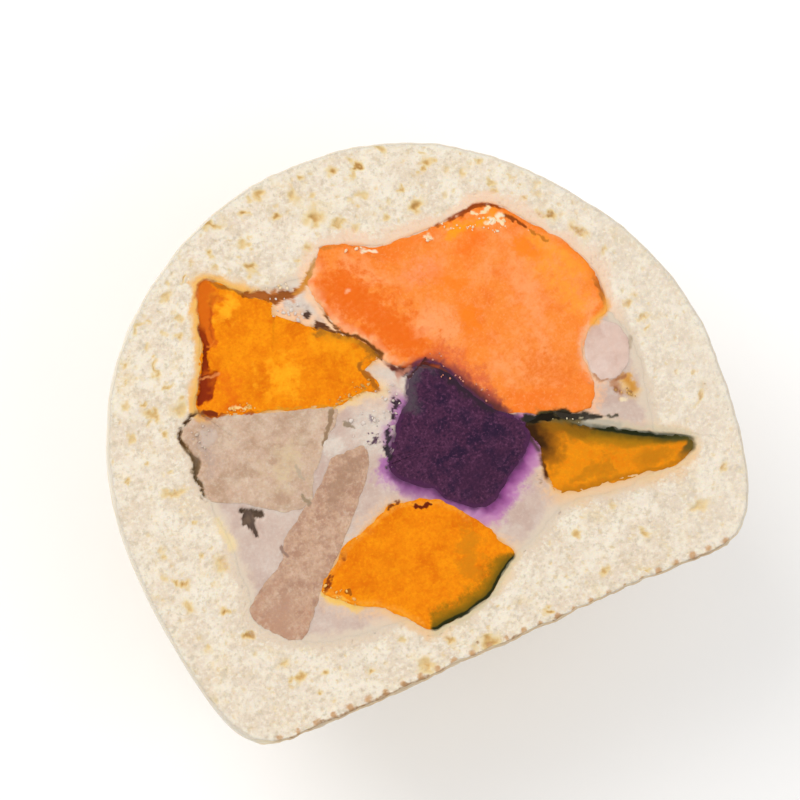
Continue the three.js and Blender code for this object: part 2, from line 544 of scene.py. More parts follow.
def plug(name: str, front: Array, walls: Array, under: str, layers: list[Layer]) -> Piece:
    """A piece that is set in the cut: its front, and the sides that hang below it.

    Args:
        name: The piece's name.
        front: Rings from the middle of the front out to its edge.
        walls: The sides' rings, from plug_rings.
        under: The display colour under the layers.
        layers: The colours on the front, and how far each covers there.

    Returns:
        The object. Each of its sides' rings is at least 0.06 mm further below the edge than the last, so
        that the sides never fold.
    """
    steps = 0.06 * np.arange(1, len(walls) + 1)[:, None]
    walls[..., 2] = np.minimum(walls[..., 2], front[-1, :, 2] - steps)
    rings = np.concatenate([front, walls])
    piece = ring_surface(name, rings)
    Tint.clear(rings.size // 3, under).lay(layers, slice(front.size // 3)).store(piece)
    return piece


def lumps(name: str, centres: Array, radii: Array, turns: Array, seed: int) -> Piece:
    """Many small crooked ellipsoids as one mesh.

    Args:
        name: The piece's name.
        centres: Their middles, in mm.
        radii: Each one's half sizes along, across and up, in mm.
        turns: Each one's turn about +Z, in radians.
        seed: Picks their crookedness.

    Returns:
        The object. Each lump is a ball of four rings of eight points and two poles, its points moved in and
        out by noise, stretched by its radii, then turned.
    """
    rows, columns = 4, 8
    dips, bearings = np.arange(1, rows + 1) * math.pi / (rows + 1), np.arange(columns) * math.tau / columns
    dip, turn = np.meshgrid(dips, bearings)
    ball = np.stack([np.cos(turn) * np.sin(dip), np.sin(turn) * np.sin(dip), np.cos(dip)], -1)
    ball = np.concatenate([ball.transpose(1, 0, 2).reshape(-1, 3), [[0, 0, 1], [0, 0, -1]]])
    swell = 1 + 0.55 * Wobble(0.7, seed, 3).at(ball[None] + centres[:, None] * 3.7)
    sized = ball[None] * swell[..., None] * radii[:, None]
    cos, sin = np.cos(turns)[:, None], np.sin(turns)[:, None]
    along = sized[..., 0] * cos - sized[..., 1] * sin
    across = sized[..., 0] * sin + sized[..., 1] * cos
    points = np.stack([along, across, sized[..., 2]], -1) + centres[:, None]
    one, sizes = net(rows, columns)
    faces = (one[None] + np.arange(len(centres))[:, None] * len(ball)).ravel()
    return make_mesh(name, points.reshape(-1, 3), faces, np.tile(sizes, len(centres)))


# --- Finishes ---------------------------------------------------------


class Recipe:
    """A material's shader nodes, wired up as they are added. Patterns are in mm on Object coordinates."""

    def __init__(self, name: str) -> None:
        """Starts an empty material.

        Args:
            name: The material's name.
        """
        self.material = bpy.data.materials.new(name)
        self.material.use_nodes = True
        self.tree = self.material.node_tree
        self.tree.nodes.clear()
        self.place = self.add("ShaderNodeTexCoord").outputs["Object"]

    def add(self, kind: str, inputs: dict | None = None, **settings) -> bpy.types.Node:
        """Adds a node.

        Args:
            kind: The node's type name.
            inputs: Values or sockets, by input name or number.
            **settings: The node's own properties.

        Returns:
            The node.
        """
        node = self.tree.nodes.new(kind)
        for name, value in settings.items():
            setattr(node, name, value)
        for key, value in (inputs or {}).items():
            if isinstance(value, Socket):
                self.tree.links.new(value, node.inputs[key])
            elif isinstance(value, tuple) and len(value) == 3 and node.inputs[key].type == "RGBA":
                node.inputs[key].default_value = (*value, 1)
            else:
                node.inputs[key].default_value = value
        return node

    def noise(self, size: float, detail: float = 3, warp: float = 0) -> Socket:
        """Cloudy noise.

        Args:
            size: About how large its features are, in mm.
            detail: How many finer layers it has.
            warp: How far it is drawn out into swirls.

        Returns:
            Its value, from 0 to 1.
        """
        spread = {"Vector": self.place, "Scale": (1 / (size * MM),) * 3}
        place = self.add("ShaderNodeMapping", spread).outputs[0]
        inputs = {"Vector": place, "Scale": 1.0, "Detail": detail, "Roughness": 0.6, "Distortion": warp}
        return self.add("ShaderNodeTexNoise", inputs).outputs[0]

    def cells(self, size: float) -> bpy.types.Node:
        """Scattered crooked cells.

        Args:
            size: About how large they are, in mm.

        Returns:
            The node, which gives the distance to the nearest cell's point, in cells, and its colour.
        """
        bend = self.add("ShaderNodeTexNoise", {"Vector": self.place, "Scale": 0.9 / (size * MM)}).outputs[1]
        shift = self.add("ShaderNodeVectorMath", {0: bend, 1: (0.5, 0.5, 0.5)}, operation="SUBTRACT")
        inputs = {0: shift.outputs[0], "Scale": size * MM * 0.7}
        scaled = self.add("ShaderNodeVectorMath", inputs, operation="SCALE")
        place = self.add("ShaderNodeVectorMath", {0: self.place, 1: scaled.outputs[0]}, operation="ADD")
        return self.add("ShaderNodeTexVoronoi", {"Vector": place.outputs[0], "Scale": 1 / (size * MM)})

    def dots(self, pitch: float, radius: float) -> Socket:
        """Round dots on a square grid across and down.

        Args:
            pitch: How far apart they are, in mm.
            radius: Their radius, in mm.

        Returns:
            1 in a dot's middle and 0 beyond its radius.
        """
        axes = self.add("ShaderNodeSeparateXYZ", {0: self.place}).outputs
        away = [self.reckon("PINGPONG", axes[axis], pitch * MM / 2) for axis in ("X", "Z")]
        squares = self.reckon("ADD", *(self.reckon("MULTIPLY", side, side) for side in away))
        return self.between(self.reckon("SQRT", squares, 0.0), radius * MM, radius * MM * 0.3)

    def between(self, value: Socket, low: float, high: float) -> Socket:
        """A value turned into a share.

        Args:
            value: The value.
            low: Where the share is 0.
            high: Where the share is 1, which may be below low.

        Returns:
            The share, which goes smoothly from one to the other.
        """
        start, end = (0.0, 1.0) if low < high else (1.0, 0.0)
        inputs = {0: value, 1: min(low, high), 2: max(low, high), 3: start, 4: end}
        return self.add("ShaderNodeMapRange", inputs, interpolation_type="SMOOTHSTEP").outputs[0]

    def reckon(self, operation: str, first: Socket | float, second: Socket | float) -> Socket:
        """One step of arithmetic on two numbers."""
        return self.add("ShaderNodeMath", {0: first, 1: second}, operation=operation).outputs[0]

    def mix(self, share: Socket | float, first: Socket | str, second: Socket | str) -> Socket:
        """The first colour where share is 0 and the second where it is 1, as sockets or display colours."""
        inks = [shade(ink) if isinstance(ink, str) else ink for ink in (first, second)]
        return self.add("ShaderNodeMix", {0: share, 6: inks[0], 7: inks[1]}, data_type="RGBA").outputs[2]

    def over(
        self, below: Socket | str, above: str, pattern: Socket, low: float, high: float, share: float = 1.0
    ) -> Socket:
        """Lays a colour over another in a pattern.

        Args:
            below: What is there.
            above: The display colour that goes over it.
            pattern: A value over the surface.
            low: The value at which nothing shows of the colour above.
            high: The value from which it covers as far as it can.
            share: How far that is, up to 1.

        Returns:
            The colour.
        """
        there = self.between(pattern, low, high)
        return self.mix(there if share == 1 else self.reckon("MULTIPLY", there, share), below, above)

    def tinted(self, colour: Socket) -> Socket:
        """A colour under the piece's stored tint.

        Args:
            colour: The colour.

        Returns:
            The colour with the tint over it, whose half covered places break up into specks.
        """
        tint = self.add("ShaderNodeAttribute", attribute_name=TINT)
        cover = tint.outputs["Alpha"]
        half = self.reckon("MULTIPLY", cover, self.reckon("SUBTRACT", 1.0, cover))
        specks = self.reckon("MULTIPLY", self.reckon("SUBTRACT", self.noise(0.55, 4), 0.5), 1.5)
        speckled = self.reckon("MULTIPLY", specks, self.reckon("MULTIPLY", half, 4.0))
        share = self.between(self.reckon("ADD", cover, speckled), 0.0, 1.0)
        return self.mix(share, colour, tint.outputs["Color"])

    def value(self, name: str) -> Socket:
        """One of the piece's own stored numbers."""
        return self.add("ShaderNodeAttribute", attribute_name=name).outputs["Fac"]

    def bump(self, height: Socket, rise: float, below: Socket | None = None) -> Socket:
        """A surface normal bent by a height pattern.

        Args:
            height: The pattern.
            rise: Its full rise, in mm.
            below: An earlier bump, which this one goes over.

        Returns:
            The normal.
        """
        inputs = {"Height": height, "Distance": rise * MM, "Strength": 1.0}
        if below is not None:
            inputs["Normal"] = below
        return self.add("ShaderNodeBump", inputs).outputs[0]

    def finish(self, inputs: dict) -> Material:
        """Closes the material with a Principled shader.

        Args:
            inputs: The shader's values and sockets, by name.

        Returns:
            The material.
        """
        shader = self.add("ShaderNodeBsdfPrincipled", inputs)
        self.add("ShaderNodeOutputMaterial", {"Surface": shader.outputs[0]})
        return self.material


@dataclass(frozen=True)
class CrumbFinish:
    """Steamed crumb: cream, finely mottled, tan in its pores, and stained by the filling."""

    cream: str = "#dfcfba"
    pale: str = "#ece2d0"
    grey: str = "#c8baa3"
    butter: str = "#e3cda2"
    stain: str = "#e2ca9a"
    tan: str = "#cfa86a"
    ochre: str = "#ae8044"

    def build(self) -> Material:
        """Makes the material.

        Returns:
            Clouds, mottles and a fine grain, then the pores by their stored tan, then the tint.
        """
        r = Recipe("crumb")
        fine, pore = r.noise(0.55, 2), r.value(TAN)
        colour = r.over(self.cream, self.pale, r.noise(3.0), 0.35, 0.68)
        colour = r.over(colour, self.butter, r.noise(2.6), 0.52, 0.74, 0.5)
        colour = r.over(colour, self.grey, r.noise(1.1), 0.5, 0.7, 0.45)
        colour = r.over(colour, self.pale, fine, 0.5, 0.32, 0.8)
        colour = r.over(colour, self.grey, fine, 0.54, 0.74, 0.5)
        for floor, low, high in ((self.stain, 0.0, 0.4), (self.tan, 0.3, 0.85), (self.ochre, 0.7, 1.15)):
            colour = r.over(colour, floor, pore, low, high)
        return r.finish(
            {
                "Base Color": r.tinted(colour),
                "Roughness": 0.85,
                "Specular IOR Level": 0.25,
                "Normal": r.bump(fine, 0.1, r.bump(r.noise(0.9), 0.12)),
                "Subsurface Weight": 0.3,
                "Subsurface Radius": (1.0, 0.72, 0.42),
                "Subsurface Scale": 1.2 * MM,
            }
        )


@dataclass(frozen=True)
class SkinFinish:
    """Steamed skin: satin cream with slow warm clouds and small tan bran flecks."""

    cream: str = "#ecdec8"
    pale: str = "#f1e8d8"
    warm: str = "#e6c899"
    freckle: str = "#d6ae78"
    bran: str = "#a06c3a"
    weave_pitch: float = 2.7
    weave_dot: float = 0.75
    weave: str = "#c39a6c"

    def build(self) -> Material:
        """Makes the material.

        Returns:
            Clouds, then freckles and bran in scattered cells, then the cloth's print on the base and
            dimples all over, then the tint.
        """
        r = Recipe("skin")
        colour = r.over(self.cream, self.warm, r.noise(26), 0.38, 0.7)
        colour = r.over(colour, self.warm, r.noise(4.2, 4), 0.44, 0.7, 0.55)
        colour = r.over(colour, self.pale, r.noise(1.9, 4), 0.5, 0.3, 0.5)
        for size, reach, share, spot in ((5.5, 0.2, 0.45, self.freckle), (3.6, 0.11, 0.8, self.bran)):
            cells = r.cells(size)
            chosen = r.between(r.add("ShaderNodeSeparateColor", {0: cells.outputs[1]}).outputs[0], 0.5, 0.62)
            there = r.reckon("MULTIPLY", r.between(cells.outputs[0], reach, reach * 0.3), chosen)
            colour = r.mix(r.reckon("MULTIPLY", there, share), colour, spot)
        weave = r.reckon("MULTIPLY", r.dots(self.weave_pitch, self.weave_dot), r.value(BASE))
        colour = r.mix(r.reckon("MULTIPLY", weave, 0.6), colour, self.weave)
        dimples = r.bump(r.noise(0.8), 0.03, r.bump(r.noise(3.4), 0.2))
        return r.finish(
            {
                "Base Color": r.tinted(colour),
                "Roughness": r.reckon("ADD", 0.42, r.reckon("MULTIPLY", r.noise(5), 0.16)),
                "Normal": r.bump(r.reckon("SUBTRACT", 1.0, weave), 0.12, dimples),
                "Subsurface Weight": 0.3,
                "Subsurface Radius": (1.0, 0.7, 0.4),
                "Subsurface Scale": 2 * MM,
            }
        )


@dataclass(frozen=True)
class FleshFinish:
    """Cooked flesh or mash: a base with deeper clouds, pale veins, mottles and grain, then the tint.

    cloud is the size of the clouds and grain_depth how deep the grain is, in mm. veins, mottle and grain are
    how strongly each shows, and glow is the weight of the light that passes under the surface.
    """

    name: str
    base: str
    pale: str
    deep: str
    cloud: float
    veins: float
    mottle: float
    grain: float
    grain_depth: float
    roughness: float = 0.6
    shine: float = 0.12
    glow: float = 0.2
    glow_radius: tuple[float, float, float] = (1.0, 0.5, 0.2)

    def build(self) -> Material:
        """Makes the material.

        Returns:
            Clouds of the deep colour, then pale veins, both soft, under mottles and a fine grain.
        """
        r = Recipe(self.name)
        mottle, grain = r.noise(1.1, 4), r.noise(0.38)
        colour = r.over(self.base, self.deep, r.noise(self.cloud, 4, 0.3), 0.44, 0.66)
        colour = r.over(colour, self.pale, r.noise(self.cloud * 1.1, 4, 0.4), 0.46, 0.68, self.veins)
        colour = r.over(colour, self.deep, mottle, 0.5, 0.7, self.mottle)
        colour = r.over(colour, self.pale, mottle, 0.48, 0.3, self.mottle)
        colour = r.over(colour, self.deep, grain, 0.5, 0.68, self.grain)
        colour = r.over(colour, self.pale, grain, 0.48, 0.3, self.grain)
        return r.finish(
            {
                "Base Color": r.tinted(colour),
                "Roughness": self.roughness,
                "Specular IOR Level": self.shine,
                "Normal": r.bump(grain, self.grain_depth, r.bump(mottle, self.grain_depth)),
                "Subsurface Weight": self.glow,
                "Subsurface Radius": self.glow_radius,
                "Subsurface Scale": 1.2 * MM,
            }
        )


STARCHY = {"shine": 0.25, "glow": 0.3, "glow_radius": (1.0, 0.7, 0.6)}


class Flesh(Enum):
    """The filling's finishes: base, pale and deep colours, cloud size, veins, mottle, grain, its depth."""

    SWEET_POTATO = FleshFinish("sweet_potato", "#f38a35", "#f69e60", "#ef7822", 5.5, 0.9, 0.35, 0.4, 0.05)
    PURPLE = FleshFinish(
        "purple_sweet_potato", "#48263f", "#643a58", "#2c1b33", 2.6, 0.15, 0.3, 0.8, 0.12, 0.85, 0.08, 0.0
    )
    PUMPKIN = FleshFinish("pumpkin", "#ec8606", "#f99e0c", "#dc7002", 4.0, 0.45, 0.35, 0.45, 0.07, shine=0.06)
    TARO = FleshFinish("taro", "#cbad96", "#dac8b1", "#b5947b", 3.0, 0.35, 0.45, 0.35, 0.05)
    TARO_END = FleshFinish("taro_end", "#c6a288", "#d6b8a0", "#ad856e", 2.4, 0.35, 0.5, 0.5, 0.07)
    MASH = FleshFinish(
        "taro_mash", "#ccb5a7", "#dccec2", "#c2a79a", 5.0, 0.45, 0.3, 0.25, 0.05, 0.5, **STARCHY
    )
    YAM = FleshFinish("yam", "#d9bdaf", "#e5d1c7", "#ceae9f", 3.5, 0.4, 0.15, 0.15, 0.03, 0.45, **STARCHY)


@dataclass(frozen=True)
class CrumbsFinish:
    """Loose bits of the half: each in its own stored colour, with a fine grain."""

    name: str
    base: str = "#f6ead8"
    dark: str = "#cdb89a"

    def build(self) -> Material:
        """Makes the material.

        Returns:
            The grain, under the bits' own colours.
        """
        r = Recipe(self.name)
        grain = r.noise(0.3, 2)
        colour = r.tinted(r.over(self.base, self.dark, grain, 0.4, 0.6))
        return r.finish({"Base Color": colour, "Roughness": 0.75, "Normal": r.bump(grain, 0.06)})


# --- The bun's form and the cut face ----------------------------------


@dataclass
class BunForm:
    """The bun's outside: round about its own axis, which leans, and flat at its base and where it lies.

    heart is the point of the cut face that the outside is seen from.
    """

    rim: Outline
    heart: Array = field(default_factory=lambda: np.array([0.0, -3.0]))

    REACH = 90.0
    HALVINGS = 30

    def __post_init__(self) -> None:
        """Reads the two sides of the rim as distances across at each height."""
        start = np.argmin(np.abs(self.rim.points[:, 0]) + 1000 * (self.rim.points[:, 1] > 0))
        line = np.roll(self.rim.points, -start, 0)
        top = np.argmax(line[:, 1])
        self.base = line[:, 1].min()
        self.top = line[top, 1]
        self.heights = np.linspace(self.base + 0.03, self.top, 400)
        right = np.interp(self.heights, *self._rising(line[: top + 1]))
        left = np.interp(self.heights, *self._rising(line[top:][::-1]))
        self.middle = (right + left) / 2
        self.radius = (right - left) / 2

    def _rising(self, line: Array) -> tuple[Array, Array]:
        """A side of the rim, ready to be read by height.

        Args:
            line: The side's points, from the base up.

        Returns:
            Heights and distances across of its points above the base, without any dip.
        """
        line = line[line[:, 1] > self.base + 0.03]
        keep = line[:, 1] >= np.maximum.accumulate(line[:, 1])
        return line[keep, 1], line[keep, 0]

    def bearings(self, count: int) -> Array:
        """The angles from +X, in radians, at which the heart sees count points spread evenly on the rim."""
        line = self.rim.evened(count).points - self.heart
        return np.arctan2(line[:, 1], line[:, 0])

    def surface(self, bearings: Array, dips: Array) -> Array:
        """Points of the outside, seen from the heart of the cut face.

        Args:
            bearings: Angles round the cut face from +X, in radians.
            dips: Angles down from the cut face, in radians.

        Returns:
            Points in mm, one row for each dip: where each ray leaves the form, found by halving a stretch
            of it over and over, then moved along the ray by slow undulations, finer ones by the cut and the
            base, which all die away at the resting spot.
        """
        turn, dip = np.meshgrid(bearings, dips)
        ray = np.stack([np.cos(turn) * np.cos(dip), np.sin(turn) * np.cos(dip), -np.sin(dip)], -1)
        start = np.array([*self.heart, CUT_HEIGHT])
        near, far = np.zeros(turn.shape), np.full(turn.shape, self.REACH)
        for _ in range(self.HALVINGS):
            middle = (near + far) / 2
            inside = self._holds(start + ray * middle[..., None])
            near, far = np.where(inside, middle, near), np.where(inside, far, middle)
        points = start + ray * near[..., None]
        by_cut = 0.03 + 0.07 * ease(2.5, 0.3, CUT_HEIGHT - points[..., 2])
        by_base = ease(2.2, 0.4, points[..., 1] - self.base) * 0.26
        swell = 0.42 * Wobble(19, Seed.SWELL).at(points) + 0.16 * Wobble(6.5, Seed.RIPPLE, 2).at(points)
        swell += by_cut * Wobble(1.6, Seed.CUT_RIM, 2).at(points)
        swell += by_base * Wobble(1.5, Seed.BASE_EDGE, 2).at(points)
        points = points + ray * (swell * ease(0, 4, points[..., 2]))[..., None]
        points[..., 2] = np.clip(points[..., 2], 0, None)
        return points

    def _holds(self, points: Array) -> Array:
        """Which points the form holds.

        Args:
            points: Points in mm.

        Returns:
            True where a point is between base and top, above the table and within the round.
        """
        height = points[..., 1]
        across = points[..., 0] - np.interp(height, self.heights, self.middle)
        within = np.hypot(across, points[..., 2] - CUT_HEIGHT) <= np.interp(height, self.heights, self.radius)
        return within & (height >= self.base) & (height <= self.top) & (points[..., 2] >= 0)

    def sunk(self, points: Array, depth: Array | float) -> Array:
        """Points of the outside moved towards the heart of the cut face by depth, in mm."""
        inward = np.array([*self.heart, CUT_HEIGHT]) - points
        return points + inward / np.linalg.norm(inward, axis=-1, keepdims=True) * depth


def span(start: float, end: float, fade: float, bearings: Array) -> Array:
    """How far bearings lie between two others.

    Args:
        start: The first bearing, in degrees.
        end: The last one, anticlockwise from it. 360 or more from it is all the way round.
        fade: Over how many degrees the ends fade out.
        bearings: The bearings that are looked at, in degrees.

    Returns:
        1 between the two, and 0 outside them.
    """
    if end - start >= 360:
        return np.ones(bearings.shape)
    half = (end - start) / 2
    away = np.abs((bearings - start - half + 180) % 360 - 180)
    return ease(half + fade / 2, half - fade / 2, away)


# Most of these bands are real stains or print; some stand for painted shade, as noted where they are set.
@dataclass(frozen=True)
class StainAndShade:
    """A colour that covers nothing at the distance start, and up to strength of a surface at full, in mm."""

    colour: str
    strength: float
    start: float
    full: float

    def by(self, distance: Array) -> Layer:
        """The colour and how far it covers at distances in mm."""
        return self.colour, self.strength * ease(self.start, self.full, distance)


class On(Enum):
    """Where a mark lies: everywhere, on its own chunk, on all but that, or on the mash and the bread."""

    ALL = "all"
    OWN = "own"
    AROUND = "around"
    SOFT = "soft"

    def takes(self, owner: str, piece: str) -> bool:
        """Whether a mark lies on a piece.

        Args:
            owner: The node of the chunk whose mark it is.
            piece: The node of the piece.

        Returns:
            True where it does.
        """
        if self is On.SOFT:
            return piece in ("bread", "taro_mash")
        return self is On.ALL or (piece == owner) == (self is On.OWN)


@dataclass(frozen=True)
class Seam:
    """A band along a stretch of a chunk's edge, coloured and perhaps dug in.

    start and end are bearings round the chunk's centre, in degrees. offset is how far outside the edge the
    band's middle runs and half is half its width, in mm. soft is the share of half over which it fades out,
    broken the share of its length that is missing, torn how ragged it is, and core the colour of its middle,
    if another.
    """

    start: float
    end: float
    offset: float
    half: float
    colour: str
    strength: float = 1.0
    depth: float = 0.0
    soft: float = 0.7
    broken: float = 0.0
    fade: float = 10
    torn: float = 1.0
    core: str = ""
    on: On = On.ALL

    def cover(self, face: "CutFace", node: str, points: Array, seed: int) -> Array:
        """How far the band covers places.

        Args:
            face: The cut face.
            node: The chunk's node.
            points: The places in the cut plane.
            seed: Picks its raggedness.

        Returns:
            From 0 to 1: by the distance from its middle line, counted in uneven half widths, and by the
            bearing, and 0 where noise breaks it off.
        """
        out = face.maps[node].at(points)
        result = np.zeros(len(points))
        here = np.flatnonzero(np.abs(out - self.offset) < self.half * 1.6)
        uneven = 1 + 0.55 * min(self.torn, 1) * Wobble(1.7, seed, 3).at(points[here])
        share = ease(1, 1 - self.soft, np.abs(out[here] - self.offset) / (self.half * uneven))
        share *= span(self.start, self.end, self.fade, face.bearing(node, points[here]))
        if self.broken:
            whole = 0.5 + 0.5 * Wobble(1.5, seed + 3, 3).at(points[here])
            share *= ease(self.broken - 0.1, self.broken + 0.1, whole)
        result[here] = share
        return result


@dataclass(frozen=True)
class Stroke:
    """A tapered mark on the cut from one place to another.

    start and end are places, each a bearing round a chunk's centre, in degrees, and a distance outside its
    edge, in mm. radii are its half widths there. A mark with a depth below 0 stands up from the cut, as a
    scrap that stuck to it. soft, torn and core are as for a seam.
    """

    start: Place
    end: Place
    radii: tuple[float, float]
    colour: str
    strength: float = 1.0
    depth: float = 0.0
    soft: float = 0.5
    torn: float = 1.0
    core: str = ""
    on: On = On.ALL

    def cover(self, face: "CutFace", node: str, points: Array, seed: int) -> Array:
        """How far the mark covers places.

        Args:
            face: The cut face.
            node: The chunk's node.
            points: The places in the cut plane.
            seed: Picks its raggedness.

        Returns:
            From 0 to 1, by the distance from the line between its two ends, counted in uneven half widths.
        """
        start, end = face.near(node, self.start), face.near(node, self.end)
        result = np.zeros(len(points))
        middle, reach = (start + end) / 2, np.linalg.norm(end - start) / 2 + 2 * max(self.radii)
        here = np.flatnonzero(np.linalg.norm(points - middle, axis=1) < reach)
        step = end - start
        along = np.clip((points[here] - start) @ step / max(step @ step, 1e-6), 0, 1)
        away = np.linalg.norm(points[here] - start - along[:, None] * step, axis=1)
        radius = self.radii[0] + (self.radii[1] - self.radii[0]) * along
        radius *= 1 + 0.7 * min(self.torn, 1) * Wobble(0.9, seed, 3).at(points[here])
        result[here] = ease(1, 1 - self.soft, away / np.maximum(radius, 0.05))
        return result


blush = partial(Seam, soft=1, on=On.OWN)
halo = partial(Seam, soft=1, on=On.SOFT)
cloud = partial(Stroke, soft=1, on=On.OWN)


@dataclass(frozen=True)
class Crumbs:
    """Loose bits strewn about the line between two places, given as for a stroke.

    spread is how far they stray from it and size the range of their half lengths, in mm. slim is how many
    times longer than wide they are, and rise how far their middles are above the cut.
    """

    start: Place
    end: Place
    spread: float
    count: int
    size: tuple[float, float]
    colours: tuple[str, str]
    slim: float = 1.3
    rise: float = 0.05


@dataclass(frozen=True)
class Chunk:
    """A chunk of the filling: which node it stands for, how it was cut, and what shows at and by its edge.

    around and across count the points of its front, lift is how far it stands out of the cut and ragged how
    far its edge wanders, in mm. fullness is the power of the superellipse that its sides follow. wash is a
    colour all over its front and how far it covers. Each bulge is a stretch between two bearings, in
    degrees, and how far its edge swells out, in mm. The marks are laid on in their order.
    """

    node: str
    slot: str
    flesh: Flesh
    around: int
    across: int
    lift: float = 0.0
    wash: tuple[str, float] = ("#ffffff", 0.0)
    ragged: float = 0.22
    fullness: float = 5.0
    bulges: tuple[tuple[float, float, float], ...] = ()
    marks: tuple[Seam | Stroke, ...] = ()

    EDGE_POINTS = 900
    CORNER_REACH, CORNER_AMOUNT = 1.1, 0.7
    BULGE_FADE = 14

    def outline(self) -> Outline:
        """The chunk's edge at the cut.

        Returns:
            The node's, its corners sharpened and its bulges swollen.
        """
        line = cut_loops(self.node)[0].evened(self.EDGE_POINTS)
        line = line.sharpened(self.CORNER_REACH, self.CORNER_AMOUNT)
        away = line.points - line.centre
        bearings = np.degrees(np.arctan2(away[:, 1], away[:, 0])) % 360
        swell = np.zeros(self.EDGE_POINTS)
        for start, end, amount in self.bulges:
            swell += amount * span(start, end, self.BULGE_FADE, bearings)
        return line.shifted(swell)


class CutFace:
    """The outlines of everything at the cut, and what the chunks' marks do to it.

    The cut undulates by SWAY about a level that lies SINK below the box's top, both in mm.
    """

    RIM_POINTS, RIM_SOFTNESS = 720, 1.2
    POCKET_POINTS, POCKET_SOFTNESS = 1200, 0.3
    MAP_POINTS = 240
    MARK_STEP = 7
    SINK, SWAY = 0.03, 0.12

    def __init__(self, chunks: tuple[Chunk, ...]) -> None:
        """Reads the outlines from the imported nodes.

        Args:
            chunks: The filling's chunks.
        """
        rim, pocket = sorted(cut_loops("bread")[:2], key=lambda line: -line.points[:, 0].max())
        pocket = Outline(pocket.points[::-1])  # a hole's line runs clockwise
        self.form = BunForm(rim.evened(self.RIM_POINTS).softened(self.RIM_SOFTNESS))
        self.pocket = pocket.evened(self.POCKET_POINTS).softened(self.POCKET_SOFTNESS)
        self.pocket_map = DistanceMap(self.pocket.evened(self.MAP_POINTS))
        self.outlines = {chunk.node: chunk.outline() for chunk in chunks}
        self.maps = {node: DistanceMap(line.evened(self.MAP_POINTS)) for node, line in self.outlines.items()}
        self.marks = [(chunk.node, mark) for chunk in chunks for mark in chunk.marks]

    def bearing(self, node: str, points: Array) -> Array:
        """The bearing of points round a chunk's centre, in degrees from +X."""
        away = points - self.outlines[node].centre
        return np.degrees(np.arctan2(away[..., 1], away[..., 0])) % 360

    def near(self, node: str, place: Place) -> Array:
        """A place beside a chunk.

        Args:
            node: The chunk's node.
            place: Its bearing round the chunk's centre, in degrees from +X, and how far outside the edge
                it is along that bearing, in mm, or inside where it is negative.

        Returns:
            The place in the cut plane.
        """
        line = self.outlines[node]
        turn = math.radians(place[0])
        reach = line.reach_at(np.array([turn]), line.centre)[0] + place[1]
        return line.centre + reach * np.array([math.cos(turn), math.sin(turn)])

    def level(self, points: Array) -> Array:
        """The cut's height in mm: a slow undulation that every piece follows, so that none stands proud."""
        return CUT_HEIGHT - self.SINK + self.SWAY * Wobble(5, Seed.CUT, 2).at(points)

    def marked(self, points: Array, piece: str) -> tuple[Array, list[Layer]]:
        """What the chunks' marks do at points of a piece.

        Args:
            points: Places in the cut plane.
            piece: The node that the piece stands for.

        Returns:
            How deep each place is dug in, in mm, and each colour with how far it covers. All marks are
            read a little beside their places, by a drift that changes within a millimetre, so their edges
            look torn.
        """
        coarse = [0.24 * Wobble(1.3, Seed.DRIFT + k, 3).at(points) for k in (0, 1)]
        fine = [0.08 * Wobble(0.4, Seed.FINE_DRIFT + k).at(points) for k in (0, 1)]
        drift = np.stack(coarse, -1) + np.stack(fine, -1)
        depth = np.zeros(len(points))
        layers = []
        for number, (node, mark) in enumerate(self.marks, 1):
            if not mark.on.takes(node, piece):
                continue
            cover = mark.cover(self, node, points + mark.torn * drift, Seed.MARK + self.MARK_STEP * number)
            depth = np.maximum(depth, mark.depth * cover) + min(mark.depth, 0) * cover
            layers.append((mark.colour, mark.strength * cover))
            if mark.core:
                layers.append((mark.core, mark.strength * ease(0.5, 1.0, cover)))
        return depth, layers


# --- Pieces -----------------------------------------------------------


def hand_over(piece: Piece, material: Material, node: str) -> None:
    """Dresses a finished piece and ties it to the frame.

    Args:
        piece: The piece.
        material: Its material.
        node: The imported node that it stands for.
    """
    piece.data.materials.append(material)
    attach(piece, ROOT)
    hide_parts(node)
    LOG.info("%s: %d faces", piece.name, len(piece.data.polygons))


def shoulder(inset: Array, radius: float = 0.5) -> Array:
    """How far a rounded edge lies below the cut at some distance inside the rim, both in mm."""
    return radius - np.sqrt(radius**2 - np.clip(radius - inset, 0, radius * 0.99) ** 2)


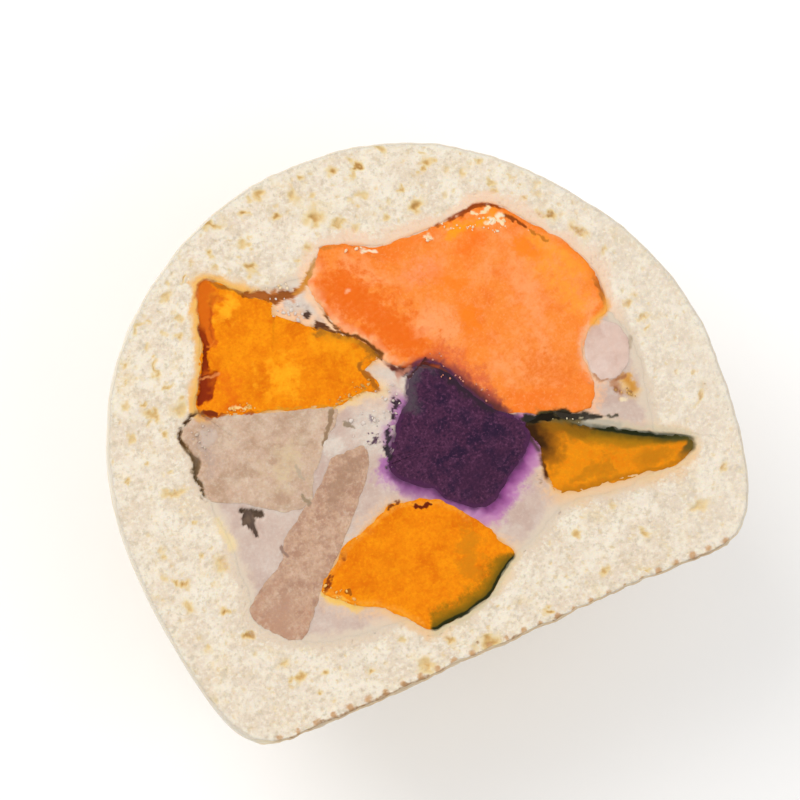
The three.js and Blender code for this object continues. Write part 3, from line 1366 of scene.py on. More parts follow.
@dataclass
class Bread:
    """The steamed bread: its crumb, with the cut face and the filling's pocket, and its skin.

    around, across and skin_around count points, and a name with rings in it counts rings of them. The other
    sizes are in mm, and print_height is how high above the base the cloth's dots show. Each band goes by
    the distance from what it is named after, the grey one on the right by that from the middle to the right:
    that one is painted shade on the side away from the light. The darker band by the cut on the skin is a
    painted shadow along its rim, and the warm band by the base partly the base's own tan and partly painted
    shade.
    """

    face: CutFace
    skin_thickness: float = 0.32
    around: int = 1040
    across: int = 68
    pocket_rings: int = 10
    back_rings: int = 9
    skin_around: int = 520
    skin_rings: int = 104
    lining_rings: int = 10
    # Painted shade: the crumb greyer towards the right, the side away from the light.
    painted_shade_right: StainAndShade = StainAndShade("#e2d9cc", 0.25, 18, 40)
    from_pocket: StainAndShade = StainAndShade("#dbc8b2", 0.95, 2.0, 0.1)
    from_potato: tuple[StainAndShade, ...] = (StainAndShade("#f0cdb0", 0.75, 3.0, 0.2), StainAndShade("#ee9c58", 0.7, 0.7, 0.0))
    from_pumpkin: tuple[StainAndShade, ...] = (StainAndShade("#eccb96", 0.5, 2.0, 0.1), StainAndShade("#e29434", 0.6, 0.5, 0.0))
    under_pumpkin: StainAndShade = StainAndShade("#c4620e", 1.0, 1.2, 0.2)
    cloth_print: StainAndShade = StainAndShade("#c79c70", 0.8, 0.7, 0.2)
    print_height: float = 0.55
    bare_crumb: str = "#f3e0c8"
    base_edge: StainAndShade = StainAndShade("#a07a54", 0.7, 0.4, 0.1)
    # Of the two bands by the cut, the second, darker one is a painted shadow along the skin's rim. The band
    # by the base is partly the base's own tan and partly painted shade towards the base.
    skin_by_cut: tuple[StainAndShade, ...] = (StainAndShade("#ebdecb", 0.9, 4.0, 0.6), StainAndShade("#e2d2bb", 0.9, 0.9, 0.3))
    skin_tan_and_shade_by_base: StainAndShade = StainAndShade("#e6cb9e", 0.5, 3.0, 0.3)
    skin_corner: StainAndShade = StainAndShade("#c4a078", 0.6, 0.7, 0.3)

    def crowded(self, places: Array) -> Array:
        """How crowded the larger pores are.

        Args:
            places: Places in the cut plane.

        Returns:
            A factor on their chance, higher towards the bun's top and left, lower by its skin and filling.
        """
        form = self.face.form
        height = (places[:, 1] - form.base) / (form.top - form.base)
        across = np.abs(places[:, 0] - np.interp(places[:, 1], form.heights, form.middle))
        by_skin = ease(0.6, 2.2, np.interp(places[:, 1], form.heights, form.radius) - across)
        by_filling = ease(0.8, 2.5, self.face.pocket_map.at(places))
        left = ease(10, -40, places[:, 0])
        return (0.25 + 0.75 * ease(0.3, 0.8, height) + 0.25 * left) * by_skin * by_filling

    def even(self, places: Array) -> Array:
        """How crowded the smaller pores are: the same everywhere, but fewer by the filling."""
        return ease(0.2, 1.0, self.face.pocket_map.at(places)) + 0.15

    def pores(self, places: Array) -> tuple[Array, Array]:
        """The crumb's pores, of four sizes.

        Args:
            places: Places in the cut plane.

        Returns:
            The depth in mm and the tan from 0 to 1 at each.
        """
        sizes = (
            (Pores(4.6, (0.5, 1.25), 0.7, 0.3, 1.1, Seed.LARGE_PORES), self.crowded),
            (Pores(2.6, (0.3, 0.7), 0.5, 0.35, 0.8, Seed.MIDDLE_PORES), self.crowded),
            (Pores(1.5, (0.22, 0.42), 0.5, 0.5, 0.3, Seed.SMALL_PORES), self.even),
            (Pores(0.9, (0.15, 0.28), 0.55, 0.6, 0.14, Seed.TINY_PORES), self.even),
        )
        depth, tan = np.zeros(len(places)), np.zeros(len(places))
        for pores, crowding in sizes:
            here, tone = pores.at(places, crowding)
            depth, tan = np.maximum(depth, here), np.maximum(tan, tone)
        return depth, tan

    def edges(self, bearings: Array) -> tuple[Array, Array, Array]:
        """The closed lines between which the crumb shows at the cut.

        Args:
            bearings: Angles from +X at which the heart sees their points, in radians.

        Returns:
            The filling's edge, made crooked by noise, the skin's inside, and the bun's rim.
        """
        form, face = self.face.form, self.face
        rim = form.surface(bearings, np.zeros(1))[0, :, :2]
        away = rim - form.heart
        reach = np.linalg.norm(away, axis=1, keepdims=True)
        outer = form.heart + away * (1 - self.skin_thickness / reach)
        direction = away / reach
        inner = form.heart + direction * face.pocket.reach_at(bearings, form.heart)[:, None]
        crook = 0.22 * Wobble(2.2, Seed.POCKET, 2).at(inner) + 0.1 * Wobble(0.7, Seed.POCKET_GRAIN).at(inner)
        return inner + direction * crook[:, None], outer, rim

    def cut(self, edges: tuple[Array, ...]) -> tuple[Array, Array, list[Layer]]:
        """The crumb's cut face.

        Args:
            edges: The filling's edge, the skin's inside and the bun's rim.

        Returns:
            Rings from the first edge straight out to the second, lowered by pores, marks and the rounded
            rim, then the pores' tan and the marks' colours on them.
        """
        inner, outer, rim = edges
        share = np.concatenate([[0, 0.001], np.linspace(0.01, 1, self.across - 2)])[:, None, None]
        flat = inner + (outer - inner) * share
        places = flat.reshape(-1, 2)
        pit, tan = self.pores(places)
        dug, layers = self.face.marked(places, "bread")
        from_inner, from_outer, from_rim = (
            np.linalg.norm(edge - flat, axis=-1).ravel() for edge in (inner, outer, rim)
        )
        relief = ease(0, 0.8, from_inner) * (0.05 * Wobble(0.9, Seed.CRUMB, 2).at(places) - pit) - dug
        relief *= ease(0, 0.4, from_outer)
        level = (self.face.level(places) + relief - shoulder(from_rim)).reshape(self.across, self.around, 1)
        return np.concatenate([flat, level], -1), tan, layers

    def crumb(self) -> Piece:
        """The crumb, as one closed surface from the pocket's floor, over the cut face, to the bun's back.

        Returns:
            The object. Its back runs just inside the skin's.
        """
        form = self.face.form
        bearings = form.bearings(self.around)
        edges = self.edges(bearings)
        top, tan, layers = self.cut(edges)
        depth = CUT_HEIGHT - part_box("taro_mash")[0].z / MM + 0.4
        walls = plug_rings(edges[0], form.heart, depth, 3, self.pocket_rings)
        walls[..., 2] = np.minimum(walls[..., 2], top[0, :, 2] - 0.1)
        dips = np.radians(np.linspace(1.5, 88, self.back_rings))
        sunk = self.skin_thickness + 0.3 * ease(0.02, 0.4, dips)[:, None, None]
        rings = np.concatenate([walls[::-1], top, form.sunk(form.surface(bearings, dips), sunk)])
        piece = ring_surface("bread_crumb", rings)
        points = rings.reshape(-1, 3)
        front = slice(walls.size // 3, (walls.size + top.size) // 3)
        pore_tan = np.zeros(len(points))
        pore_tan[front] = tan
        store(piece, TAN, with_poles(pore_tan))
        Tint.clear(len(points), self.bare_crumb).lay(self.stains_and_shade(points)).lay(layers, front).store(piece)
        return piece

    def stains_and_shade(self, points: Array) -> list[Layer]:
        """What the filling's juices and the cloth leave on the crumb, and painted shade on its right.

        Args:
            points: Points of the crumb, in mm.

        Returns:
            Each colour and how far it covers: by the distance from the pocket, the chunks and the base, and
                the painted shade by how far right each point lies.
        """
        flat, below = points[:, :2], ease(0.15, 2.5, CUT_HEIGHT - points[:, 2])
        blot = 1 + 0.5 * Wobble(2.5, Seed.STAIN, 2).at(flat)
        potato = self.face.maps["sweet_potato"].at(flat)
        # The first band is painted shade, the crumb greyer towards its right, the side away from the light.
        layers = [self.painted_shade_right.by(flat[:, 0]), self.from_pocket.by(self.face.pocket_map.at(flat) / blot)]
        layers += [stain.by(potato / blot) for stain in self.from_potato]
        for node in PUMPKINS:
            out = self.face.maps[node].at(flat)
            layers += [stain.by(out / blot) for stain in self.from_pumpkin]
            colour, cover = self.under_pumpkin.by(out)
            layers.append((colour, below * cover))
        base = points[:, 1] - self.face.form.base
        pitch = SkinFinish.weave_pitch
        weave = np.hypot((points[:, 0] + pitch / 2) % pitch - pitch / 2, base - self.print_height)
        print_blot = 1 + 0.3 * Wobble(1.2, Seed.WEAVE).at(flat)
        base_blot = 1 + 0.7 * Wobble(1.6, Seed.BASE_STAIN, 2).at(flat)
        return [*layers, self.cloth_print.by(weave * print_blot), self.base_edge.by(base * base_blot)]

    def skin(self) -> Piece:
        """The skin: a thin closed shell over the round, the base and the resting spot.

        Returns:
            The object: rings from its inside's pole up to the cut, over its rounded edge and down the
            outside to the back.
        """
        form = self.face.form
        bearings = form.bearings(self.skin_around)
        outside = form.surface(bearings, np.radians(np.linspace(1.1, 89.6, self.skin_rings)))
        behind = form.surface(bearings, np.radians(np.linspace(1.2, 89.6, self.lining_rings)))
        inside = form.sunk(behind, self.skin_thickness - 0.03)
        rim = form.surface(bearings, np.zeros(1))[0, :, :2]
        radial = rim - form.heart
        radial /= np.linalg.norm(radial, axis=1, keepdims=True)
        edge = []
        for inset in (self.skin_thickness + 0.05, self.skin_thickness - 0.03, 0.18, 0.05):
            spot = rim - radial * inset
            drop = 0.08 if inset > self.skin_thickness else 0
            level = self.face.level(spot) - drop - shoulder(np.full(len(spot), inset))
            edge.append(np.concatenate([spot, level[:, None]], 1))
        rings = np.concatenate([inside[::-1], np.stack(edge), outside])
        piece = ring_surface("bread_skin", rings)
        points = rings.reshape(-1, 3)
        down, up = CUT_HEIGHT - points[:, 2], points[:, 1] - form.base
        above_base = up * (1 + 0.4 * Wobble(1.5, Seed.SKIN_EDGE, 2).at(points))
        colour, cover = self.skin_corner.by(above_base)
        # The second band by the cut is a painted shadow along the rim; the band by the base is partly the
        # base's tan and partly painted shade.
        layers = [stain.by(down) for stain in self.skin_by_cut]
        layers += [self.skin_tan_and_shade_by_base.by(above_base), (colour, cover * ease(1.3, 0.3, down))]
        Tint.clear(len(points), SkinFinish.warm).lay(layers).store(piece)
        store(piece, BASE, with_poles(ease(0.8, 0.3, up)))
        return piece

    def build(self) -> None:
        """Makes and dresses the bread's two pieces."""
        hand_over(self.crumb(), CrumbFinish().build(), "bread")
        hand_over(self.skin(), SkinFinish().build(), "bread")


@dataclass
class ChunkPiece:
    """One chunk of the filling, built from its node's outline.

    snug is how much fuller it is than its node and edge_round the radius of its edge at the cut, in mm.
    """

    chunk: Chunk
    face: CutFace
    seed: int
    wall_rings: int = 12
    snug: float = 0.22
    edge_round: float = 0.15

    def outline(self) -> Outline:
        """The chunk's edge at the cut.

        Returns:
            The node's, a little fuller, and ragged by noise.
        """
        line = self.face.outlines[self.chunk.node].evened(self.chunk.around)
        coarse = Wobble(2.0, self.seed, 3).at(line.points)
        rough = coarse + 0.8 * Wobble(0.75, self.seed + 1, 2).at(line.points)
        return line.shifted(self.snug + self.chunk.ragged * rough)

    def front(self, line: Outline) -> tuple[Array, list[Layer]]:
        """The chunk's cut front.

        Args:
            line: Its edge.

        Returns:
            Rings from its middle out to the edge, closer together there, lowered by its marks and round at
            the edge, and the marks' colours on them.
        """
        chunk = self.chunk
        step = np.arange(1, chunk.across + 1) / chunk.across
        share = np.append(1 - (1 - step[:-1]) ** 1.25, [0.9985, 1.0])[:, None, None]
        flat = line.centre + (line.points - line.centre) * share
        places = flat.reshape(-1, 2)
        dug, layers = self.face.marked(places, chunk.node)
        level = self.face.level(places) + chunk.lift - dug + 0.035 * Wobble(1.1, self.seed + 6, 2).at(places)
        edge = -DistanceMap(line.evened(self.face.MAP_POINTS)).at(places)
        inset = np.clip(1 - np.clip(edge, 0, None) / self.edge_round, 0, 1)
        level -= self.edge_round * (1 - np.sqrt(1 - inset**2 * 0.96))
        return np.concatenate([flat, level.reshape(*flat.shape[:2], 1)], -1), layers

    def build(self, material: Material) -> None:
        """Makes and dresses the chunk.

        Args:
            material: The flesh's material, shared by all chunks of its kind.
        """
        chunk, line = self.chunk, self.outline()
        front, layers = self.front(line)
        depth = CUT_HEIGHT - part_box(chunk.node)[0].z / MM
        walls = plug_rings(line.points, line.centre, depth, chunk.fullness, self.wall_rings)
        away = line.normals * (0.14 * Wobble(1.5, self.seed + 7, 2).at(walls))[..., None]
        walls[..., :2] += away * ease(0, 2, CUT_HEIGHT - walls[..., 2])[..., None]
        wash = (chunk.wash[0], np.full(front.size // 3, chunk.wash[1]))
        piece = plug(f"{chunk.node}_flesh", front, walls, chunk.flesh.value.base, [wash, *layers])
        hand_over(piece, material, chunk.node)


@dataclass
class Mash:
    """The taro mash that holds the chunks: one body with its cut front all over the pocket.

    level is its front's height above the cut and overlap how far it runs under the crumb, in mm. Each
    stain goes by the distance from what it is named after, and a crumbly spot has a place and a radius.
    """

    face: CutFace
    around: int = 800
    across: int = 112
    wall_rings: int = 8
    level: float = -0.05
    overlap: float = 0.5
    from_pocket: StainAndShade = StainAndShade("#dac8b3", 0.95, 2.0, 0.1)
    from_pumpkin: tuple[StainAndShade, ...] = (StainAndShade("#e4c2a2", 0.5, 3.0, 0.4), StainAndShade("#e6a650", 0.6, 0.8, 0.0))
    from_potato: StainAndShade = StainAndShade("#f5bf98", 0.6, 1.4, 0.1)
    crumbly_colour: str = "#dacdc0"
    crumbly_spots: tuple[tuple[str, Place, float], ...] = (
        ("purple_sweet_potato", (150, 3.0), 5.0),
        ("purple_sweet_potato", (118, 3.5), 4.0),
        ("pumpkin_wedge", (38, 3.0), 4.2),
        ("taro_block", (345, 1.5), 2.5),
    )

    def build(self) -> None:
        """Makes and dresses the mash: rings from the middle of its front out, then down its sides."""
        face = self.face
        line = face.pocket.evened(self.around).shifted(self.overlap)
        share = (np.arange(1, self.across + 1) / self.across)[:, None, None]
        flat = line.centre + (line.points - line.centre) * share
        places = flat.reshape(-1, 2)
        dug, layers = face.marked(places, "taro_mash")
        inside = ease(0, 1, -face.pocket_map.at(places))
        level = face.level(places) + self.level - dug
        level += inside * (0.035 + 0.13 * self.crumbly(places)) * Wobble(1.0, Seed.MASH, 3).at(places)
        level -= 0.9 * self.under_chunks(places)
        front = np.concatenate([flat, level.reshape(*flat.shape[:2], 1)], -1)
        depth = CUT_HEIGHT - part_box("taro_mash")[0].z / MM
        walls = plug_rings(line.points, line.centre, depth, 3, self.wall_rings)
        flesh = Flesh.MASH.value
        piece = plug("mash_body", front, walls, flesh.base, [*self.bled(places), *layers])
        hand_over(piece, flesh.build(), "taro_mash")

    def under_chunks(self, places: Array) -> Array:
        """Where a chunk lies over the mash: 0 outside its edge, 1 well inside it."""
        inwards = np.max([-distances.at(places) for distances in self.face.maps.values()], axis=0)
        return ease(0.1, 0.8, inwards)

    def crumbly(self, places: Array) -> Array:
        """Where the mash broke into bits.

        Args:
            places: Places in the cut plane.

        Returns:
            1 in the middle of each crumbly spot and 0 beyond its radius.
        """
        total = np.zeros(len(places))
        for node, place, radius in self.crumbly_spots:
            away = np.linalg.norm(places - self.face.near(node, place), axis=1)
            total = np.maximum(total, ease(radius, radius * 0.4, away))
        return total

    def bled(self, places: Array) -> list[Layer]:
        """The chunks' colours that bled into the mash.

        Args:
            places: Places in the cut plane.

        Returns:
            Each colour and how far it covers, by the distance from the pocket's edge and the chunks.
        """
        face = self.face
        blot = 1 + 0.45 * Wobble(1.6, Seed.MASH_STAIN, 2).at(places)
        layers = [self.from_pocket.by(-face.pocket_map.at(places) / blot)]
        layers.append((self.crumbly_colour, 0.65 * self.crumbly(places)))
        for node in PUMPKINS:
            out = face.maps[node].at(places) / blot
            layers += [stain.by(out) for stain in self.from_pumpkin]
        return [*layers, self.from_potato.by(face.maps["sweet_potato"].at(places) / blot)]


@dataclass
class LooseBits:
    """Crumbs, flakes and threads that the knife left on the cut, as one joined piece.

    name is the piece's, slot is not used, node is the imported node that the bits stand for, and cover is how
    far the bits' own colours hide the finish. strewn holds each stretch with the chunk beside which it runs.
    """

    name: str
    slot: str
    node: str
    face: CutFace
    seed: int
    strewn: tuple[tuple[str, Crumbs], ...]
    cover: float = 0.85

    def build(self) -> None:
        """Makes and dresses the bits: places drawn along each stretch, and sizes and turns by seed."""
        rng = np.random.default_rng(self.seed)
        centres, radii, turns, colours = [], [], [], []
        for node, crumbs in self.strewn:
            start, end = self.face.near(node, crumbs.start), self.face.near(node, crumbs.end)
            share = rng.random((crumbs.count, 1))
            place = start + (end - start) * share + rng.normal(0, crumbs.spread, (crumbs.count, 2))
            size = crumbs.size[0] * (crumbs.size[1] / crumbs.size[0]) ** (rng.random(crumbs.count) ** 1.5)
            slim = crumbs.slim * (0.8 + 0.5 * rng.random(crumbs.count))
            level = CUT_HEIGHT + crumbs.rise + 0.06 * size
            centres.append(np.concatenate([place, level[:, None]], 1))
            radii.append(np.stack([size, size / slim, size * 0.28], 1))
            turns.append(rng.random(crumbs.count) * math.tau)
            mix = rng.random((crumbs.count, 1))
            first, second = (np.array(shade(code)) for code in crumbs.colours)
            colours.append(first + (second - first) * mix)
        centres, radii, turns, colours = map(np.concatenate, (centres, radii, turns, colours))
        piece = lumps(self.name, centres, radii, turns, self.seed)
        cells = np.column_stack([colours, np.full(len(colours), self.cover)])
        store(piece, TINT, np.repeat(cells, len(piece.data.vertices) // len(centres), axis=0))
        hand_over(piece, CrumbsFinish(self.name).build(), self.node)


# --- The stage --------------------------------------------------------


@dataclass(frozen=True)
class Lamp:
    """A soft square light that faces the middle of the cut.

    place is where it is from there, in metres, to the right, up and back in the camera's view. side is its
    width, in metres, and power is in watts.
    """

    name: str
    place: tuple[float, float, float]
    side: float
    power: float
    colour: Colour


@dataclass(frozen=True)
class Stage:
    """The floor, the camera and the lights.

    lean, tip and roll turn the camera away from straight down, in degrees. view_width is what it sees
    across the cut, in mm, and the floor's sizes are in mm as well.
    """

    lean: float = 12
    tip: float = 1.5
    roll: float = 23.6
    lens: float = 150
    view_width: float = 113
    sensor: float = 36
    sky: float = 0.72
    floor_half: float = 1500
    floor_drop: float = 0.02
    floor_squares: int = 12
    lamps: tuple[Lamp, ...] = (
        Lamp("key", (-0.5, 0.55, 0.75), 0.7, 5.6, (1.0, 0.985, 0.965)),
        Lamp("fill", (0.7, -0.2, 0.8), 0.9, 1.9, (1.0, 0.99, 0.98)),
    )

    @property
    def target(self) -> Vector:
        """The middle of the cut face, in metres."""
        return Vector((-0.6, 0.4, CUT_HEIGHT)) * MM

    def camera(self) -> Matrix:
        """Adds the camera, which looks down on the cut face from a little to its left.

        Returns:
            The camera's turn: its columns point right, up and back in its view.
        """
        lean, tip, roll = map(math.radians, (self.lean, self.tip, self.roll))
        back = Vector((-math.sin(lean), -math.sin(tip), math.cos(lean))).normalized()
        right = Vector((math.sin(roll), math.cos(roll), 0)).cross(back).normalized()
        turn = Matrix((right, back.cross(right), back)).transposed()
        data = bpy.data.cameras.new("camera")
        data.lens = self.lens
        data.sensor_width = self.sensor
        data.clip_start = 0.01
        camera = bpy.data.objects.new("camera", data)
        distance = self.view_width * MM * self.lens / self.sensor
        camera.matrix_world = Matrix.Translation(self.target + back * distance) @ turn.to_4x4()
        bpy.context.scene.collection.objects.link(camera)
        bpy.context.scene.camera = camera
        return turn

    def light(self, lamp: Lamp, turn: Matrix) -> None:
        """Adds a light.

        Args:
            lamp: The light.
            turn: The camera's turn.
        """
        data = bpy.data.lights.new(lamp.name, "AREA")
        data.size = lamp.side
        data.energy = lamp.power
        data.color = lamp.colour
        light = bpy.data.objects.new(lamp.name, data)
        light.location = self.target + turn @ Vector(lamp.place)
        light.rotation_euler = (self.target - light.location).to_track_quat("-Z", "Y").to_euler()
        bpy.context.scene.collection.objects.link(light)

    def floor(self) -> None:
        """Adds the pale floor that the half lies on: a square grid of squares."""
        count = self.floor_squares + 1
        axis = np.linspace(-self.floor_half, self.floor_half, count)
        grid = np.stack(np.meshgrid(axis, axis), -1).reshape(-1, 2)
        points = np.concatenate([grid, np.full((len(grid), 1), -self.floor_drop)], 1)
        row = np.arange(count - 1)[:, None] * count + np.arange(count - 1)
        faces = np.stack([row, row + 1, row + count + 1, row + count], -1).reshape(-1, 4)
        floor = make_mesh("floor", points, faces.ravel(), np.full(len(faces), 4))
        r = Recipe("floor")
        colour = r.mix(r.noise(60, 2), "#fefefe", "#fbfbfb")
        floor.data.materials.append(r.finish({"Base Color": colour, "Roughness": 0.6}))

    def build(self) -> None:
        """Sets up the stage."""
        turn = self.camera()
        for lamp in self.lamps:
            self.light(lamp, turn)
        world = bpy.data.worlds.new("studio")
        world.use_nodes = True
        world.node_tree.nodes["Background"].inputs[0].default_value = (1.0, 1.0, 1.0, 1)
        world.node_tree.nodes["Background"].inputs[1].default_value = self.sky
        bpy.context.scene.world = world
        bpy.context.scene.view_settings.view_transform = "Standard"
        self.floor()


# --- The filling and what the knife left ------------------------------


SWEET_POTATO_MARKS = (
    blush(0, 360, 0.0, 1.5, "#f3791a", 0.5),
    blush(142, 198, -0.1, 1.5, "#f9b988", 0.8),
    halo(142, 186, 0.5, 1.1, "#f4c79f", 0.8),
    halo(290, 324, 0.8, 1.8, "#eab892", 0.5),
    blush(200, 262, -2.0, 3.0, "#d9643a", 0.6),
    blush(197, 264, -0.4, 1.8, "#8e4038", 0.9),
    Seam(197, 264, 0.0, 0.9, "#5a2a28", 0.95, soft=0.9, on=On.OWN),
    Seam(196, 268, 0.4, 0.9, "#42222a", 0.95, soft=0.8, on=On.SOFT),
    # Dug-in crevices round the sweet potato: their brown is partly juice stain and partly painted shade, and
    # the darker cores are painted shade.
    Seam(50, 84, 0.05, 0.45, "#c46412", depth=0.2, broken=0.2, fade=5, core="#9c440a"),
    Seam(88, 97, 0.0, 0.4, "#b85e18", depth=0.2, broken=0.35, fade=4),
    Seam(135, 142, 0.1, 0.4, "#c07a30", 0.9, depth=0.2, broken=0.3),
    Seam(158, 193, 0.3, 0.3, "#ae6c24", depth=0.2, broken=0.45, core="#7c4410"),
    Seam(190, 214, 0.2, 0.5, "#8a3c20", depth=0.2, broken=0.2, core="#561f14"),
    Seam(296, 320, 0.05, 0.25, "#b06a30", 0.7, broken=0.45),
    Seam(338, 352, -0.2, 0.45, "#b0601c", 0.9, broken=0.25),
    Seam(328, 342, 0.2, 1.0, "#f3a94a", 0.85, soft=1),
    blush(352, 392, -1.4, 1.6, "#fb9c30", 0.6),
    cloud((150, -5.0), (185, -4.5), (7.0, 5.5), "#e8690d", 0.85),
    cloud((84, -1.6), (52, -1.4), (1.6, 1.4), "#ff9a18", 0.85),
    cloud((10, -4.0), (340, -4.0), (4.0, 4.0), "#fb9c34", 0.55),
    cloud((76, -5.0), (64, -4.5), (3.0, 2.4), "#f3761a", 0.75),
    cloud((30, -3.2), (18, -3.6), (2.4, 2.0), "#f5841c", 0.8),
    cloud((216, -8.5), (240, -9.0), (3.0, 1.8), "#f5801a", 0.85),
    cloud((112, -8.4), (100, -9.0), (2.6, 1.8), "#f5801c", 0.75),
    cloud((130, -9.0), (112, -5.0), (3.6, 2.8), "#fa9a66", 0.5),
    cloud((184, -7.5), (176, -9.5), (2.6, 1.8), "#fba268", 0.55),
    cloud((355, -9.5), (330, -8.0), (4.0, 3.0), "#fb9e62", 0.55),
    cloud((295, -9.0), (301, -5.0), (5.5, 4.5), "#ea7622", 0.62),
    # Another such crevice at its upper right: brown partly juice stain and partly painted shade, its core
    # painted shade.
    Stroke((48, -0.7), (33, -0.4), (0.36, 0.3), "#b86216", depth=0.2, core="#96480c"),
    Stroke((31, -0.7), (19, -0.9), (0.22, 0.2), "#c0701c", 0.9),
    Stroke((68, -0.7), (58, -0.7), (0.34, 0.3), "#f0d6a8", 0.95, depth=-0.12, soft=0.5, torn=1.4),
    Stroke((57, -2.9), (49, -0.6), (0.42, 0.4), "#f3dfbc", 0.95, depth=-0.15, soft=0.6, torn=2),
    Stroke((56, -1.7), (48, -1.5), (0.45, 0.4), "#f2dab0", 0.9, depth=-0.12, soft=0.6, torn=2),
    Stroke((131, -1.5), (128, -0.7), (0.5, 0.4), "#f4dcba", 0.9, depth=-0.14, soft=0.6, torn=1.3),
    Stroke((103, -0.7), (100, -1.1), (0.35, 0.4), "#f3d4a8", 0.9, depth=-0.12, soft=0.6, torn=1.3),
    Stroke((150, -5.6), (150, -5.9), (0.4, 0.4), "#f9b98c", 0.7, soft=0.8),
    Stroke((84, -1.2), (82, -1.3), (0.5, 0.4), "#f9bc84", 0.7, soft=0.8),
)

PURPLE_SWEET_POTATO_MARKS = (
    halo(255, 358, 1.2, 3.2, "#bb7bae", 0.9),
    halo(262, 356, 0.3, 2.3, "#8e3f85", 0.95),
    halo(262, 356, 0.0, 1.1, "#6c2c66", 0.95),
    halo(178, 266, 0.6, 2.7, "#b984b0", 0.85),
    halo(180, 266, 0.0, 2.2, "#7a3a76", 0.95),
    halo(118, 182, 0.6, 2.0, "#a868a2", 0.85, broken=0.15),
    Seam(0, 360, 0.0, 0.7, "#4c2648", 0.8, soft=1),
    blush(84, 128, -0.4, 2.0, "#544850", 0.7),
    blush(10, 84, -0.2, 1.6, "#30242c", 0.8),
    # Painted shade: the chunk darker on its lower side.
    blush(250, 325, -3.4, 3.6, "#3a1f37", 0.55, fade=30),
    Stroke((100, 0.9), (110, 2.2), (1.0, 0.8), "#bf8068", 0.8, soft=0.9),
    # The gap between the purple chunk and the sweet potato, dug a little in: its dark red-brown is partly
    # juice stain and partly painted shade.
    Stroke((86, 0.3), (104, 0.1), (0.35, 0.3), "#4e2420", 0.9, depth=0.2),
    Stroke((126, 1.5), (140, 0.9), (0.5, 0.45), "#4a2440", core="#38202f", torn=2),
    Stroke((152, 1.0), (172, 0.2), (0.5, 0.7), "#4a3046", core="#30202c", torn=2),
    Stroke((160, 3.2), (158, 2.6), (0.4, 0.3), "#5e4250", torn=2),
    Stroke((145, 3.6), (142, 4.0), (0.35, 0.25), "#8d7a86", 0.8, torn=2),
    Stroke((150, 6.9), (151, 6.0), (0.6, 0.4), "#96826c", 0.9, torn=2),
)

PUMPKIN_WEDGE_MARKS = (
    Seam(76, 202, 0.5, 1.2, "#edb050", 0.85, soft=1, on=On.AROUND),
    # The crevice along the wedge's left side, dug in: its orange is the juice-stained wall, and the darker
    # line inside it is painted shade.
    Seam(106, 146, -1.0, 1.2, "#d4670f", 0.95, depth=0.3, soft=0.35, fade=8),
    blush(110, 140, -1.7, 0.35, "#b04a0a", 0.7, fade=8),
    halo(20, 62, 0.6, 1.6, "#f6c49a", 0.85),
    # Lower down the same crevice: its dark red-brown, darkest in the core, is painted shade over the stained
    # wall.
    Seam(134, 172, -0.45, 0.62, "#93330a", 0.95, depth=0.6, soft=0.4, fade=8),
    Seam(171, 191, -1.2, 1.2, "#a43c0c", 0.95, depth=0.6, soft=0.4, fade=4, core="#8a2c0a"),
    Seam(86, 106, 0.0, 0.32, "#a8641a", 0.9, broken=0.3),
    halo(285, 325, 0.6, 1.3, "#e8c890", 0.5),
    # Painted shade on the wedge along its edge by the sweet potato, then a dark line in the gap between them,
    # dug a little in: its brown partly juice stain, its dark core painted shade.
    blush(337, 370, -0.3, 1.3, "#a86a18", 0.85, fade=10),
    Seam(337, 376, 0.2, 0.36, "#a4641c", depth=0.2, broken=0.25, core="#744010"),
    Seam(196, 230, 0.05, 0.35, "#a8500c", 0.8, broken=0.4),
    Seam(230, 300, 0.0, 0.4, "#cf8a24", 0.6, broken=0.3),
    cloud((280, -5.0), (290, -6.0), (5.5, 4.0), "#ffac1a", 0.7),
    cloud((180, -4.0), (205, -2.8), (2.8, 2.6), "#e26e0a", 0.7),
    cloud((104, -3.0), (112, -5.0), (2.2, 2.4), "#ffac1e", 0.85),
    # A crevice from the wedge's top towards the sweet potato, dug in: its brown is partly juice stain and
    # partly painted shade, darkest in the core.
    Stroke((90, 0.1), (64, 2.6), (0.35, 0.95), "#d07c1c", depth=0.3, core="#a85a12"),
    Stroke((64, 2.6), (46, 4.1), (0.95, 0.7), "#cc7418", depth=0.3, core="#96500e"),
    Stroke((46, 4.2), (43, 7.1), (0.65, 0.4), "#cc8630"),
    Stroke((43, 7.1), (43, 9.5), (0.35, 0.25), "#c08a4a", 0.8),
    cloud((345, -3.5), (0, -3.5), (3.0, 2.5), "#f49c10", 0.6),
    Stroke((15, 0.9), (6, 0.7), (0.55, 0.5), "#96581a", core="#5e300e"),
    Stroke((29, 1.8), (27, 1.4), (0.5, 0.4), "#74523c", core="#4a3022"),
    Stroke((333, -0.9), (322, -0.6), (0.75, 0.7), "#cc7c1a", 0.9, soft=0.6, core="#ac6214"),
    # Painted shade: darker red at the crevice's low end.
    Stroke((195, -0.5), (203, -0.3), (0.5, 0.4), "#a04a0e", core="#7a2c0a"),
    Stroke((174, -2.4), (174, 0.2), (0.24, 0.2), "#e08a48", 0.9),
    Stroke((140, -2.0), (147, -0.6), (0.3, 0.2), "#e07a20", 0.8),
    Stroke((209, -1.2), (216, -0.9), (0.42, 0.35), "#f0ce88", 0.9, depth=-0.12, soft=0.6, torn=1.4),
    Stroke((219, -1.0), (223, -0.7), (0.35, 0.3), "#efc574", 0.9, depth=-0.12, soft=0.6, torn=1.4),
    Stroke((300, 0.2), (310, 0.1), (0.3, 0.3), "#dca040", 0.8, depth=-0.1, soft=0.6, torn=1.4),
    Stroke((314, 0.3), (319, -0.2), (0.35, 0.3), "#c88a2c", 0.8, depth=-0.1, soft=0.6, torn=1.4),
)

